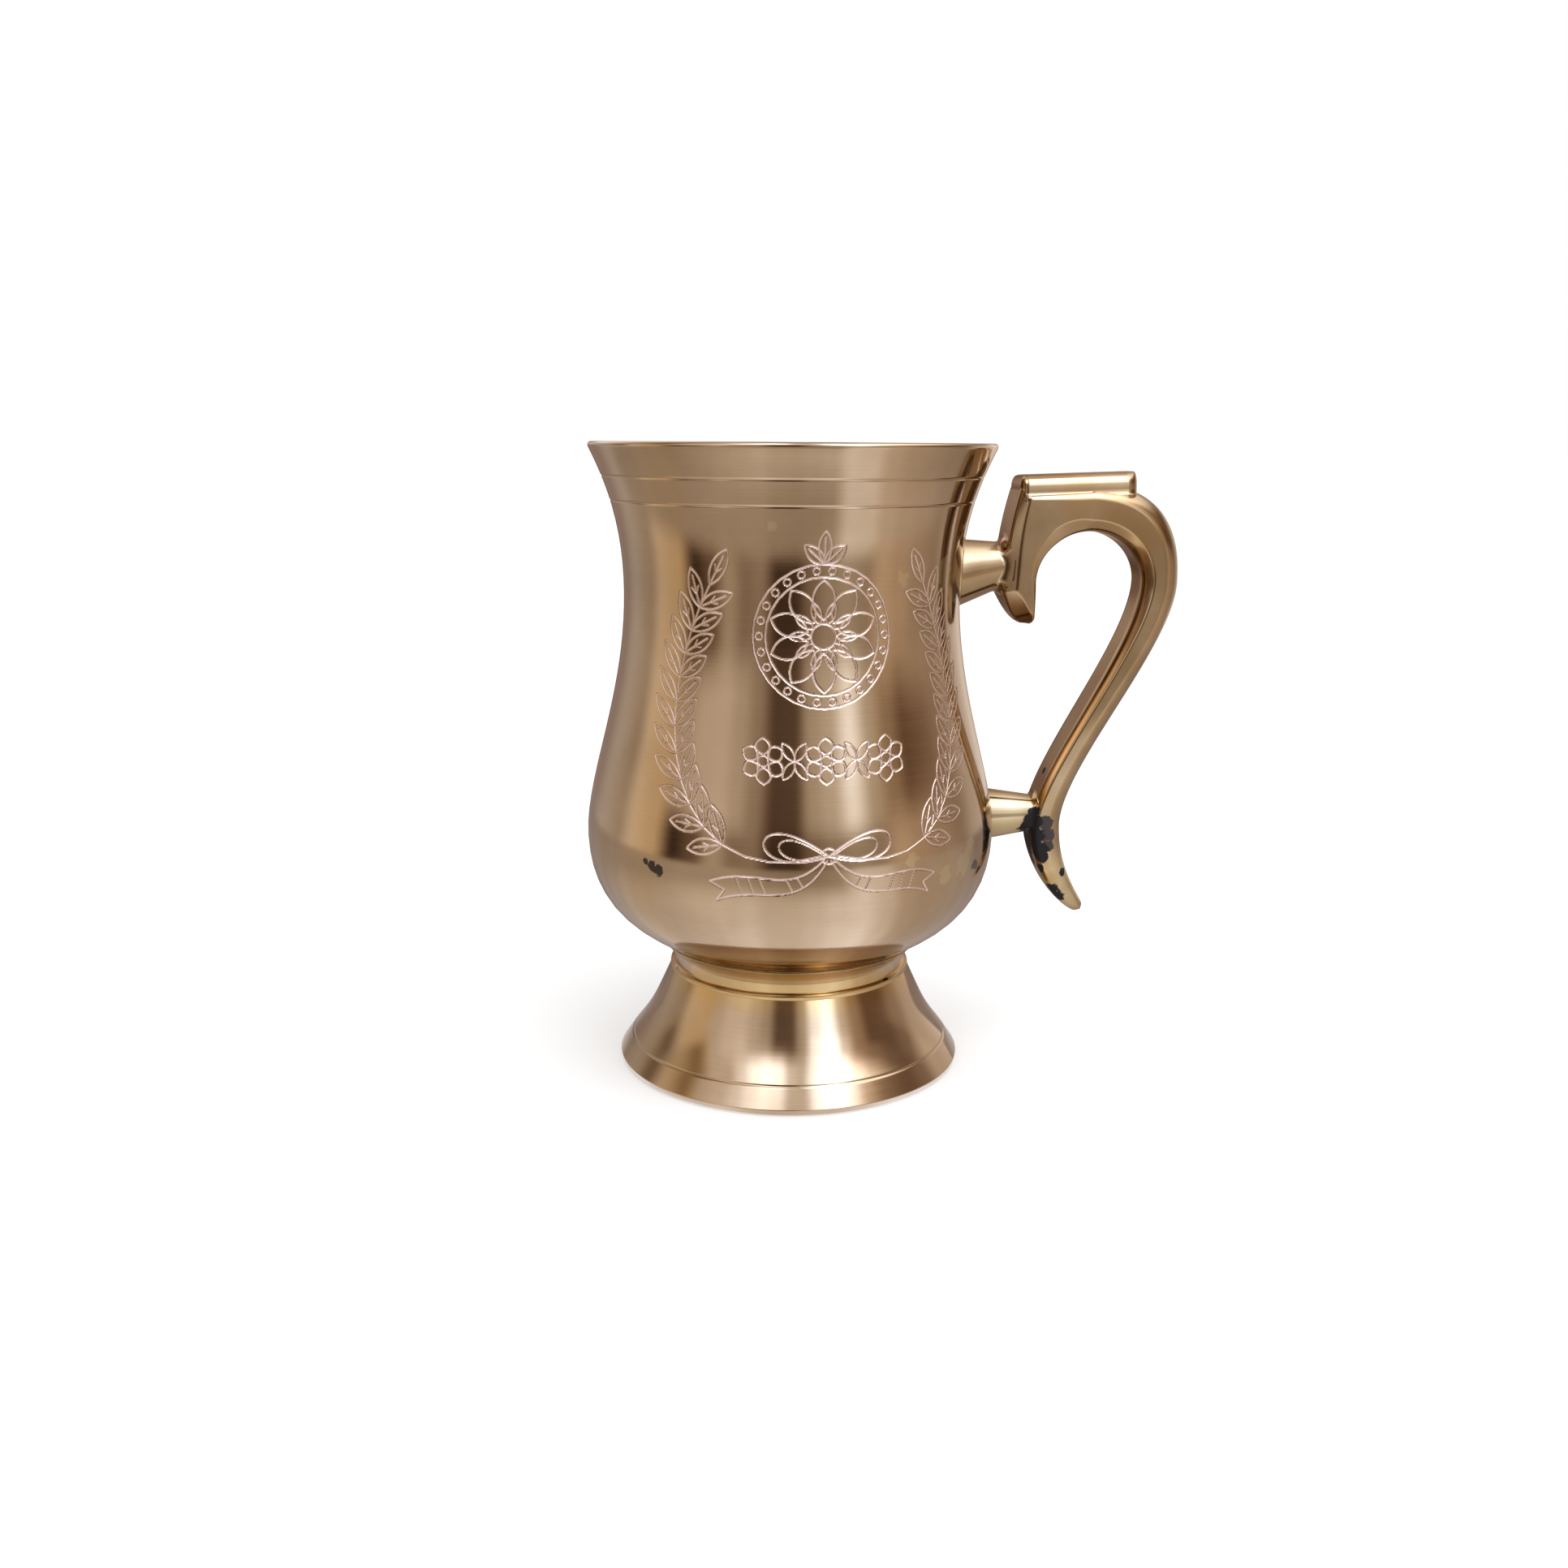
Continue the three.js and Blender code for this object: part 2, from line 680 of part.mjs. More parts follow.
function addPiece(name, geometry, material) {
  const mesh = new THREE.Mesh(toCreasedNormals(weld(geometry), radians(CREASE_DEG)), material);
  mesh.name = name;
  tankard.add(mesh);
}

addPiece("foot", makeFoot(), brass);
addPiece("neck_solder", makeNeckSolder(), solder);
addPiece("bowl", makeBowl(), brass);
addPiece("handle", makeHandle(), castBrass);
addPiece("upper_strut", makeStrut(upperStrut), castBrass);
addPiece("upper_strut_solder", makeStrutSolder(upperStrut), solder);
addPiece("upper_strut_braze", makeBraze(upperStrut), solder);
addPiece("lower_strut", makeStrut(lowerStrut), castBrass);
addPiece("lower_strut_solder", makeStrutSolder(lowerStrut), solder);
addPiece("lower_strut_braze", makeBraze(lowerStrut), solder);

const outline = new THREE.Box3().setFromObject(tankard);
tankard.position.x = -(outline.min.x + outline.max.x) / 2;

export default tankard;
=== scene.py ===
# The looks of a footed brass tankard: fine turned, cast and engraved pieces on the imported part.
# Sizes are in millimetres, as in the part's source, and become metres where a mesh is made.

import math

import bpy
import numpy as np
from mathutils import Matrix, Vector


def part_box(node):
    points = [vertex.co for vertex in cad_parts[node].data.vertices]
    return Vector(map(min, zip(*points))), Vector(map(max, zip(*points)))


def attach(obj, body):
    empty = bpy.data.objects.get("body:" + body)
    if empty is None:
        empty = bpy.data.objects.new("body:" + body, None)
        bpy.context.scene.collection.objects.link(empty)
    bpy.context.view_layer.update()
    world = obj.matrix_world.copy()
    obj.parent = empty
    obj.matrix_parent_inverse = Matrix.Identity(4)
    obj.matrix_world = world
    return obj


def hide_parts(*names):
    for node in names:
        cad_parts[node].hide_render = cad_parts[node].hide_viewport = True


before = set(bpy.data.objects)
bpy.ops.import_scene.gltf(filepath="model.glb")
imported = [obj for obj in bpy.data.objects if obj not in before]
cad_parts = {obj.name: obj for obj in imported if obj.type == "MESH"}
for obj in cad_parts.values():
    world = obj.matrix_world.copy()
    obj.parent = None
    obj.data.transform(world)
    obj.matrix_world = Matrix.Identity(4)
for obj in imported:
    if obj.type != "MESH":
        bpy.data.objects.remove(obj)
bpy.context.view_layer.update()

MM = 0.001

# Bowl: radii are outside the wall, heights are above the table
RIM_HEIGHT = 142.6
RIM_RADIUS = 45.2
RIM_FLARE_DEG = 26
WAIST_HEIGHT = 110
WAIST_RADIUS = 37.8
BELLY_HEIGHT = 55.5
BELLY_RADIUS = 46.85
SEAT_HEIGHT = 29.4
SEAT_RADIUS = 30.3
SEAT_RISE_DEG = 50
BOWL_WALL = 1.6
BOWL_FLOOR = 2.2
RIM_EASE = 8
WAIST_EASE_ABOVE = 15
WAIST_EASE_BELOW = 23
BELLY_EASE_ABOVE = 12.7
BELLY_EASE_BELOW = 19.6
SEAT_EASE = 3.7
UPPER_RIM_LINE_DROP = 7.3
LOWER_RIM_LINE_DROP = 12.6
FOOT_LINE_HEIGHT = 5.7
LINE_WIDTH = 0.6
LINE_DEPTH = 0.16
FLOOR_CORNER = 3
FLOOR_CORNER_LEAN = 0.6
FLOOR_EASE = (0.3, 0.6)
FLOOR_BEND = 8
LIP_SHARE = 0.97
ZONE_ABOVE_SEAM = 1.2
ZONE_BELOW_LINE = 1.5
LINE_MARGIN = 1

# Foot and the seam between it and the bowl
FOOT_RADIUS = 40.1
FOOT_EDGE_HEIGHT = 1.4
FOOT_EDGE_ROUND = 0.9
FOOT_LINE_RADIUS = 37.1
FOOT_FLARE_DEG = 50
FOOT_FLARE_EASE = 7.5
BEAD_HEIGHT = 22.6
BEAD_RADIUS = 27.9
BEAD_THICKNESS = 1.1
BEAD_SWELL = 0.15
BEAD_EASE = 8.6
BEAD_LEAN_DEG = 25
NECK_RADIUS = 27.1
NECK_HEIGHT = 23.4
FOOT_WALL = 2
BASE_RING_WIDTH = 3.2
SPIGOT_RADIUS = 24.2
SPIGOT_WALL = 2
SPIGOT_DEPTH = 3.4
SPIGOT_CLEARANCE = 0.2
SEAM_HEIGHT = 0.4
SEAM_DEPTH = 0.5
SOLDER_CLEARANCE = 0.12
SOLDER_FILL = 0.9
COLLAR_GAP = 0.2

# Struts between the bowl and the handle
UPPER_STRUT = dict(height=115.4, reach=9.8, radius=5.3, foot=7.7, drop=1.7, fillet=2)
LOWER_STRUT = dict(height=57, reach=10.1, radius=4.4, foot=6, drop=0, fillet=1.2)
SOLDER_THICKNESS = 0.4
SOLDER_LAP = 0.35
STRUT_BURIED = 2.6
FILLET_MARGIN = 0.4
FILLET_OVERLAP = 0.6
FILLET_BURIED = 0.5
FILLET_SEARCH = 3
SMALLEST_COSINE = 0.1

# Solder at a strut's foot: waves of its rim as (size, count, start), and its section as shares of
# the lap over the foot's edge and of the thickness
SOLDER_WAVES = ((0.15, 3, 1), (0.1, 7, 0))
SOLDER_SECTION = (
    (-2.5, -0.1), (1, -0.1), (1, 0.15), (0.75, 0.5), (0.2, 0.8), (-0.6, 0.9), (-2.5, 0.9),
)

# Handle
FRONT_THICKNESS = 7.4
FRONT_RISE = 17.4
FRONT_LEAN = 3.4
FRONT_UPRIGHT = 6
HOOK_TURN_DROP = 6
HOOK_DROP = 13.3
HOOK_REACH = 6.1
HOOK_TIP_WIDTH = 1.4
ARCH_SPRING_DROP = 3.7
ARCH_SPAN = 25.3
ARCH_RISE = 11.5
ARCH_CORNER_DEG = 130
ARCH_CROWN_THICKNESS = 10.6
ARCH_SIDE_THICKNESS = 9.3
ARCH_EASE = 14.6
LEG_EASE_ABOVE = 15
LEG_EASE_BELOW = 14.3
LEG_END_THICKNESS = 7.5
LEG_END_DROP = 2.6
TAIL_DROP = 24.9
TAIL_REACH = 13.1
TAIL_TIP_WIDTH = 2.2
TAIL_EASE = 9.2
TAIL_CURL = 7
TAIL_INNER_LEAN_DEG = 160
TAIL_OUTER_LEAN_DEG = 120
TAIL_TIP_LEAN_DEG = 40
HOOK_TIP_DEPTH = 11.5
FRONT_DEPTH = 13
ARCH_DEPTH = 12.4
LEG_DEPTH = 10.4
TAIL_TIP_DEPTH = 3.6
TIP_ROUND = 1.2
SMALLEST_TIP = 0.04
TAPER_POWER = 1.5
STATION_STEP = 0.35
CORNER_STEPS = 6

# Bevels of the handle: how deep along the inner and the outer edge, how far each is rounded,
# and how many times wider than deep each is, first the outer one
HOOK_BEVELS = (0.6, 4.4, 0.4, 0.6, 0.6, 1)
FRONT_BEVELS = (0.8, 1.5, 0.4, 0.7, 1.9, 1.4)
FRONT_TOP_BEVELS = (1.1, 1.3, 0.5, 0.7, 2.3, 2.8)
TOP_BEVELS = (1.1, 2.6, 0.5, 0.7, 0.95, 2.8)
CROWN_BEVELS = (2.2, 2.6, 1.2, 1.0, 0.95, 1.2)
ARCH_BEVELS = (2.4, 3.0, 1.6, 2.4, 1, 1)
LEG_BEVELS = (1.0, 2.6, 0.8, 2.2, 1, 1)
TAIL_BEVELS = (1.0, 1.2, 0.6, 1.0, 1, 1)
LARGEST_BEVEL_SHARE = 0.42
LARGEST_BEVELS_SHARE = 0.92
INNER_LINE_ROUND = 0.4

# Thumb rest on top of the handle, with a hollow foot and a round top edge. At each end: the corners'
# radius, and what the top edge and the foot take there as shares of what they take along the sides
THUMB_LENGTH = 27.4
THUMB_WIDTH = 11
THUMB_THICKNESS = 2.9
THUMB_SETBACK = -0.1
THUMB_RISE_DEG = 2.1
THUMB_FRONT = dict(corner=1.8, inset=0.6, flare=1)
THUMB_END = dict(corner=3, inset=0.25, flare=0.4)
SMALLEST_CORNER = 0.4
THUMB_BEVEL = 2.6
THUMB_FLARE = 0.9
THUMB_FLARE_START = 0.8
THUMB_FLARE_DROP = 1.4

# Fineness of the meshes
COLUMNS = 88
HALVINGS = (2, 4, 8, 16)
SPLIT = HALVINGS[-1]
ROOT_ROW = 3.2
FINE_SEGMENTS = 176
STRUT_SEGMENTS = 64
STRUT_SECTIONS = 22
EDGE_STEPS = 80
ROUND_STEPS = 8
RIM_BAND_STEP = 1.5
RIM_STEP = 1.2
INSIDE_STEP = 2
COLLAR_STEP = 0.5
SEARCH_STEPS = 30
SHARP_TURN_DEG = 14
TURNED_ROUND = 0.22
LARGEST_CUT = 0.45
CAP_RADIUS = 1.5
CREASE_DEG = 38
TINY = 1e-9

# Engraving: an ornament of the builder's own, round the design's middle line
DESIGN_TURN_DEG = 2.8
CUT_DEPTH = 0.13
CUT_HALF_WIDTH = 0.27
FINE_HALF_WIDTH = 0.2
STROKE_STEP = 0.6

# Camera, fitted to the photograph
PHOTO_PIXELS = 1932
FOCAL_PIXELS = 1900
SENSOR_WIDTH = 36
CAMERA_DISTANCE = 350.2
CAMERA_HEIGHT = 142.2
CAMERA_SIDE = -1.46
CAMERA_PITCH_DEG = 12.436
CAMERA_ROLL_DEG = 0.385
CAMERA_TURN_DEG = -7


# Curves in a plane

def point(x, y):
    return np.array([x, y], float)


def along(start, degrees, length):
    """A point a given length away from another, at an angle above the horizontal."""
    angle = math.radians(degrees)
    return start + length * point(math.cos(angle), math.sin(angle))


def bezier(controls, steps):
    """Evenly timed points on a Bezier curve of any degree."""
    t = np.linspace(0, 1, steps + 1)[:, None]
    degree = len(controls) - 1
    shares = [math.comb(degree, k) * (1 - t) ** (degree - k) * t**k for k in range(degree + 1)]
    return sum(share * np.asarray(control, float) for share, control in zip(shares, controls))


def eased(start, start_deg, start_ease, end, end_deg, end_ease, steps=EDGE_STEPS):
    """A curve between two points, with the direction and the length of the pull at each."""
    pulls = [along(start, start_deg, start_ease), along(end, end_deg, end_ease)]
    return bezier([start, *pulls, end], steps)


def arc(centre, radius, start_deg, end_deg, steps):
    angles = np.radians(np.linspace(start_deg, end_deg, steps + 1))
    return centre + radius * np.column_stack([np.cos(angles), np.sin(angles)])


def quarter(steps):
    return np.radians(np.linspace(0, 90, steps + 1))


def full_turn(count):
    return np.linspace(0, 2 * math.pi, count, endpoint=False)


def lengths_along(chain):
    steps = np.linalg.norm(np.diff(chain, axis=0), axis=1)
    return np.concatenate([[0], np.cumsum(steps)])


def even(chain, count):
    """The same chain with a count of equal steps."""
    lengths = lengths_along(chain)
    stops = np.linspace(0, lengths[-1], count + 1)
    return np.column_stack([np.interp(stops, lengths, column) for column in chain.T])


def even_step(chain, step):
    return even(chain, max(1, round(lengths_along(chain)[-1] / step)))


def soften(chain, radius):
    """Round the corners of a chain of points that turn sharply."""
    out = [chain[0]]
    for before, here, after in zip(chain, chain[1:], chain[2:]):
        back, ahead = before - here, after - here
        back_length, ahead_length = np.linalg.norm(back), np.linalg.norm(ahead)
        cosine = -(back @ ahead) / (back_length * ahead_length)
        if cosine > math.cos(math.radians(SHARP_TURN_DEG)):
            out.append(here)
            continue
        cut = min(radius, LARGEST_CUT * back_length, LARGEST_CUT * ahead_length)
        start = here + back / back_length * cut
        end = here + ahead / ahead_length * cut
        out.extend(bezier([start, here, end], steps=4))
    out.append(chain[-1])
    return np.array(out)


def side_normals(chain, closed=False):
    """Unit normals to the right of a chain of points."""
    if closed:
        ahead = np.roll(chain, -1, axis=0) - np.roll(chain, 1, axis=0)
    else:
        ahead = np.gradient(chain, axis=0)
    right = np.column_stack([ahead[:, 1], -ahead[:, 0]])
    return right / np.linalg.norm(right, axis=1)[:, None]


AXIS_X = (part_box("bowl")[0].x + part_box("bowl")[1].x) / 2


def new_mesh(name, corners, faces):
    mesh = bpy.data.meshes.new(name)
    mesh.from_pydata(np.asarray(corners).tolist(), [], faces)
    return mesh


def new_object(name, data):
    """An object in the scene, on the cup's axis."""
    made = bpy.data.objects.new(name, data)
    made.location.x = AXIS_X
    bpy.context.scene.collection.objects.link(made)
    return made


def crease(mesh):
    mesh.set_sharp_from_angle(angle=math.radians(CREASE_DEG))


def add_piece(name, vertices, faces, node, slot, material, normals=None, engraved=None):
    """A piece around the cup's axis that stands for a CAD node."""
    mesh = new_mesh(name, np.asarray(vertices) * MM, faces)
    mesh.shade_smooth()
    if engraved is not None:
        mask = mesh.attributes.new("engraved", "FLOAT", "POINT")
        mask.data.foreach_set("value", np.asarray(engraved, np.float32))
    if normals is None:
        crease(mesh)
    else:
        mesh.normals_split_custom_set_from_vertices(np.asarray(normals).tolist())
    mesh.materials.append(material)
    piece = new_object(name, mesh)
    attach(piece, "root")
    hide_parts(node)
    return piece


def spin(radius, height, angle):
    """Where a radius and height come to at angles round the axis; 0 faces the camera."""
    return np.stack([radius * np.sin(angle), -radius * np.cos(angle), height + 0 * angle], -1)


def spun(chain, angles):
    """A ring of places for each (radius, height) point of a chain."""
    return spin(chain[:, :1], chain[:, 1:], angles).reshape(-1, 3)


def rings_of(count, size, start=0):
    """Vertex numbers of a count of rings."""
    return start + np.arange(count * size).reshape(count, size)


def ring_faces(first, second):
    """Quads between two rings of vertex numbers, the second one further along the outline."""
    return np.column_stack([first, np.roll(first, -1), np.roll(second, -1), second]).tolist()


def strip_faces(rings, flipped=False, closed=False):
    """Quads along a row of rings; a closed row joins its last ring to its first."""
    rings = list(rings)
    faces = []
    for ring, following in zip(rings, rings[1:] + rings[:1] if closed else rings[1:]):
        faces += ring_faces(following, ring) if flipped else ring_faces(ring, following)
    return faces


def turned_loop(name, outline, node, slot, material):
    """A closed outline of (radius, height) points turned all the way round."""
    outline = soften(np.vstack([outline[-2:-1], outline]), TURNED_ROUND)[1:-1]
    angles = full_turn(FINE_SEGMENTS)
    faces = strip_faces(rings_of(len(outline), FINE_SEGMENTS), closed=True)
    directions = spun(side_normals(outline, closed=True), angles)
    return add_piece(name, spun(outline, angles), faces, node, slot, material, directions)


# Outlines of the bowl and the foot

seat = point(SEAT_RADIUS, SEAT_HEIGHT)
belly = point(BELLY_RADIUS, BELLY_HEIGHT)
waist = point(WAIST_RADIUS, WAIST_HEIGHT)
lip_drop = BOWL_WALL / 2 * (1 + math.sin(math.radians(RIM_FLARE_DEG)))
lip = point(RIM_RADIUS, RIM_HEIGHT - lip_drop)
neck = point(NECK_RADIUS, NECK_HEIGHT)

bowl_outside = np.vstack([
    eased(seat, SEAT_RISE_DEG, SEAT_EASE, belly, -90, BELLY_EASE_BELOW, steps=120),
    eased(belly, 90, BELLY_EASE_ABOVE, waist, -90, WAIST_EASE_BELOW, steps=160)[1:],
    eased(waist, 90, WAIST_EASE_ABOVE, lip, -90 - RIM_FLARE_DEG, RIM_EASE, steps=120)[1:],
])
collar = bezier([neck, point(NECK_RADIUS, (NECK_HEIGHT + SEAT_HEIGHT) / 2), seat], steps=40)


def radius_at(chain, height):
    return np.interp(height, chain[:, 1], chain[:, 0])


def bowl_radius(height):
    return radius_at(bowl_outside, height)


def between(chain, low, high):
    return chain[(chain[:, 1] > low) & (chain[:, 1] < high)]


def turned_line(chain, height):
    """The three points of a V-shaped line cut at a height."""
    edges = height + LINE_WIDTH * np.array([-0.5, 0, 0.5])
    depths = LINE_DEPTH * np.array([0, 1, 0])
    return np.column_stack([radius_at(chain, edges) - depths, edges])


seam_top_height = SEAT_HEIGHT + SEAM_HEIGHT
seam_base_height = SEAT_HEIGHT - SEAM_HEIGHT
seam_top = point(bowl_radius(seam_top_height), seam_top_height)
seam_base = point(radius_at(collar, seam_base_height), seam_base_height)
seam_root = point(seam_base[0] - SEAM_DEPTH, SEAT_HEIGHT)

lower_line = RIM_HEIGHT - LOWER_RIM_LINE_DROP
upper_line = RIM_HEIGHT - UPPER_RIM_LINE_DROP


# Engraving: strokes on the design's flat, x from its middle line and y above the table

def moved(points, root, degrees):
    angle = math.radians(degrees)
    across = point(math.cos(angle), math.sin(angle))
    up = point(-across[1], across[0])
    points = np.asarray(points, float)
    return np.asarray(root) + points[:, :1] * across + points[:, 1:] * up


# Petal and leaf as shares of length and width
PETAL_SIDE = ((0, 0), (0.3, 0.72), (0.75, 0.62), (1, 0))
LEAF_RIB = ((0.1, 0), (0.8, 0))
LEAF_VEIN = ((0.34, 0), (0.52, 0.26))


def petal(root, degrees, length, width):
    """The two sides of a pointed petal."""
    side = bezier(np.array(PETAL_SIDE) * (length, width), steps=12)
    return [moved(side, root, degrees), moved(side * (1, -1), root, degrees)]


def leaf(root, degrees, length, width):
    """A petal with a rib, and a vein on each side of it."""
    rib = moved(np.array(LEAF_RIB) * (length, width), root, degrees)
    vein = np.array(LEAF_VEIN) * (length, width)
    veins = [moved(vein * (1, side), root, degrees) for side in (-1, 1)]
    return petal(root, degrees, length, width) + [rib], veins


def circle(centre, radius):
    return arc(np.asarray(centre), radius, 0, 360, steps=28)


def rosette(centre, count, inner, outer, width, start_deg=90):
    """Petals round a centre."""
    strokes = []
    for number in range(count):
        degrees = start_deg + 360 * number / count
        strokes += petal(along(np.asarray(centre), degrees, inner), degrees, outer - inner, width)
    return strokes


MEDALLION = point(0, 104)
MEDALLION_RADIUS = 14.6
MEDALLION_BAND = 2.6
MEDALLION_EYE = 2.6
BEAD_COUNT = 26
BEAD_SIZE = 0.75
SPRIG = ((90, 6.6), (42, 5.6), (138, 5.6))
SPRIG_WIDTH = 2.6
BLOSSOM_HEIGHT = 79
BLOSSOM_SPACING = 13
BLOSSOM_EYE = 1.1
SPRAY_DEG = (55, 125, 235, 305)
BRANCH = ((2, 60), (26, 53), (45, 76), (24, 114))
LEAF_LENGTH = 8.2
LEAF_WIDTH = 3.2
LEAF_SPREAD_DEG = 42
LEAF_PAIRS = 14
BARE_STEPS = 3
KNOT = point(0, 60)
KNOT_RADIUS = 1.6

# Bow: curves from the knot, and the steps of a tail's edges between which it is hatched
BOW_LOOP = ((0, 0), (17, 13), (19, -6), (0, 0))
BOW_LINING = ((1, 0.2), (13, 9), (14, -3.6), (1, -0.2))
BOW_TAIL_TOP = ((1, -0.6), (9, -9), (15, -1.5), (25, -6))
BOW_TAIL_BASE = ((0.4, -1), (7, -12.5), (14, -5.5), (23.4, -10))
BOW_NOTCH = (2.4, -0.4)
BOW_HATCHES = (5, 7, 12, 14, 16)


def medallion():
    """A ring of beads round a double rosette, with a sprig on top."""
    main = [circle(MEDALLION, MEDALLION_RADIUS), circle(MEDALLION, MEDALLION_RADIUS - MEDALLION_BAND)]
    main += rosette(MEDALLION, count=10, inner=3.4, outer=11.4, width=4.6)
    main += [circle(MEDALLION, MEDALLION_EYE)]
    fine = rosette(MEDALLION, count=10, inner=2.6, outer=7.2, width=1.9, start_deg=108)
    for number in range(BEAD_COUNT):
        degrees = 360 * number / BEAD_COUNT
        fine.append(circle(along(MEDALLION, degrees, MEDALLION_RADIUS - MEDALLION_BAND / 2), BEAD_SIZE))
    for degrees, length in SPRIG:
        main += leaf(MEDALLION + (0, MEDALLION_RADIUS), degrees, length, SPRIG_WIDTH)[0]
    return main, fine


def blossoms():
    """A row of three small blossoms with sprays of leaves between them."""
    main, fine = [], []
    for place in (-1, 0, 1):
        centre = point(place * BLOSSOM_SPACING, BLOSSOM_HEIGHT)
        main += rosette(centre, count=6, inner=1.3, outer=4.6, width=3)
        fine += [circle(centre, BLOSSOM_EYE)]
    for place in (-0.5, 0.5):
        centre = point(place * BLOSSOM_SPACING, BLOSSOM_HEIGHT)
        for degrees in SPRAY_DEG:
            fine += petal(centre, degrees, length=4.4, width=1.8)
    return main, fine


def heading(step):
    return math.degrees(math.atan2(step[1], step[0]))


def branch():
    """One leafy branch, from the knot out and up to the medallion's side."""
    stem = even(bezier(BRANCH, EDGE_STEPS), LEAF_PAIRS + 1)
    main, fine = [stem], []
    for before, here, after in zip(stem[BARE_STEPS:], stem[BARE_STEPS + 1:], stem[BARE_STEPS + 2:]):
        for side in (-1, 1):
            degrees = heading(after - before) + side * LEAF_SPREAD_DEG
            outline, veins = leaf(here, degrees, LEAF_LENGTH, LEAF_WIDTH)
            main += outline
            fine += veins
    outline, veins = leaf(stem[-1], heading(stem[-1] - stem[-2]), LEAF_LENGTH, LEAF_WIDTH)
    return main + outline, fine + veins


def half_bow():
    """One loop and one hatched, notched tail of the bow that ties the branches."""
    curves = ((BOW_LOOP, 24), (BOW_LINING, 20), (BOW_TAIL_TOP, 20), (BOW_TAIL_BASE, 20))
    loop, lining, top, base = [
        bezier([KNOT + place for place in curve], steps) for curve, steps in curves
    ]
    notch = np.array([top[-1], (top[-1] + base[-1]) / 2 - BOW_NOTCH, base[-1]])
    hatches = [np.array([top[k], base[k]]) for k in BOW_HATCHES]
    return [loop, top, base, notch], [lining] + hatches


def engraving():
    """All strokes as (points, half width)."""
    main, fine = [circle(KNOT, KNOT_RADIUS)], []
    for strokes, thin in (medallion(), blossoms()):
        main += strokes
        fine += thin
    for strokes, thin in (branch(), half_bow()):
        main += strokes + [stroke * (-1, 1) for stroke in strokes]
        fine += thin + [stroke * (-1, 1) for stroke in thin]
    return [(stroke, CUT_HALF_WIDTH) for stroke in main] + [(stroke, FINE_HALF_WIDTH) for stroke in fine]


# Bowl: a turned wall whose cells are split where a stroke is cut into it

def cut_strokes(angles, chain):
    """Depth, slopes and nearness of the strokes on a lattice of angles and outline points."""
    shape = (len(angles), len(chain))
    depth, slope_round, slope_up = np.zeros(shape), np.zeros(shape), np.zeros(shape)
    near = np.zeros(shape, bool)
    run = lengths_along(chain)
    cell = run[1]
    angle_step = angles[1] - angles[0]
    for stroke, half in engraving():
        stroke = even_step(stroke, STROKE_STEP)
        turn = stroke[:, 0] / bowl_radius(stroke[:, 1]) + math.radians(DESIGN_TURN_DEG)
        rise = np.interp(stroke[:, 1], chain[:, 1], run)
        margin = half + cell
        for k in range(len(stroke) - 1):
            reach = margin / WAIST_RADIUS
            left = int((min(turn[k:k + 2]) - reach - angles[0]) / angle_step)
            right = int((max(turn[k:k + 2]) + reach - angles[0]) / angle_step) + 2
            low = int((min(rise[k:k + 2]) - margin) / cell)
            high = int((max(rise[k:k + 2]) + margin) / cell) + 2
            window = np.s_[left:right, low:high]
            radius = chain[None, low:high, 0]
            x = (angles[left:right, None] - turn[k]) * radius
            y = run[None, low:high] - rise[k] + 0 * x
            step_x = (turn[k + 1] - turn[k]) * radius
            step_y = rise[k + 1] - rise[k]
            share = np.clip((x * step_x + y * step_y) / (step_x**2 + step_y**2), 0, 1)
            x -= share * step_x
            y -= share * step_y
            distance = np.hypot(x, y) + TINY
            near[window] |= distance < margin
            phase = math.pi * np.clip(distance / half, 0, 1)
            deep = CUT_DEPTH * (1 + np.cos(phase)) / 2
            fall = -CUT_DEPTH * math.pi / (2 * half) * np.sin(phase)
            deeper = deep > depth[window]
            depth[window] = np.where(deeper, deep, depth[window])
            slope_round[window] = np.where(deeper, fall * x / distance, slope_round[window])
            slope_up[window] = np.where(deeper, fall * y / distance, slope_up[window])
    return depth, slope_round, slope_up, near


def grown(marks):
    """Marked cells and their neighbours; the first direction runs round the bowl."""
    marks = marks | np.roll(marks, 1, axis=0) | np.roll(marks, -1, axis=0)
    padded = np.pad(marks, ((0, 0), (1, 1)))
    return marks | padded[:, :-2] | padded[:, 2:]


def pooled(marks):
    """One mark for each block of two by two cells."""
    return marks.reshape(marks.shape[0] // 2, 2, marks.shape[1] // 2, 2).any(axis=(1, 3))


def doubled(marks):
    return marks.repeat(2, axis=0).repeat(2, axis=1)


def split_cells(near):
    """Cells as {size: (columns, rows)}, where neighbours differ by one halving at most."""
    cells = near[:, :-1] | near[:, 1:]
    marks = pooled(cells | np.roll(cells, -1, axis=0))
    to_split = {HALVINGS[0]: marks}
    for size in HALVINGS[1:]:
        marks = pooled(grown(marks))
        to_split[size] = marks
    leaves = {SPLIT: np.nonzero(~to_split[SPLIT])}
    for size in HALVINGS[-2::-1]:
        leaves[size] = np.nonzero(doubled(to_split[2 * size]) & ~to_split[size])
    leaves[1] = np.nonzero(doubled(to_split[HALVINGS[0]]))
    return leaves


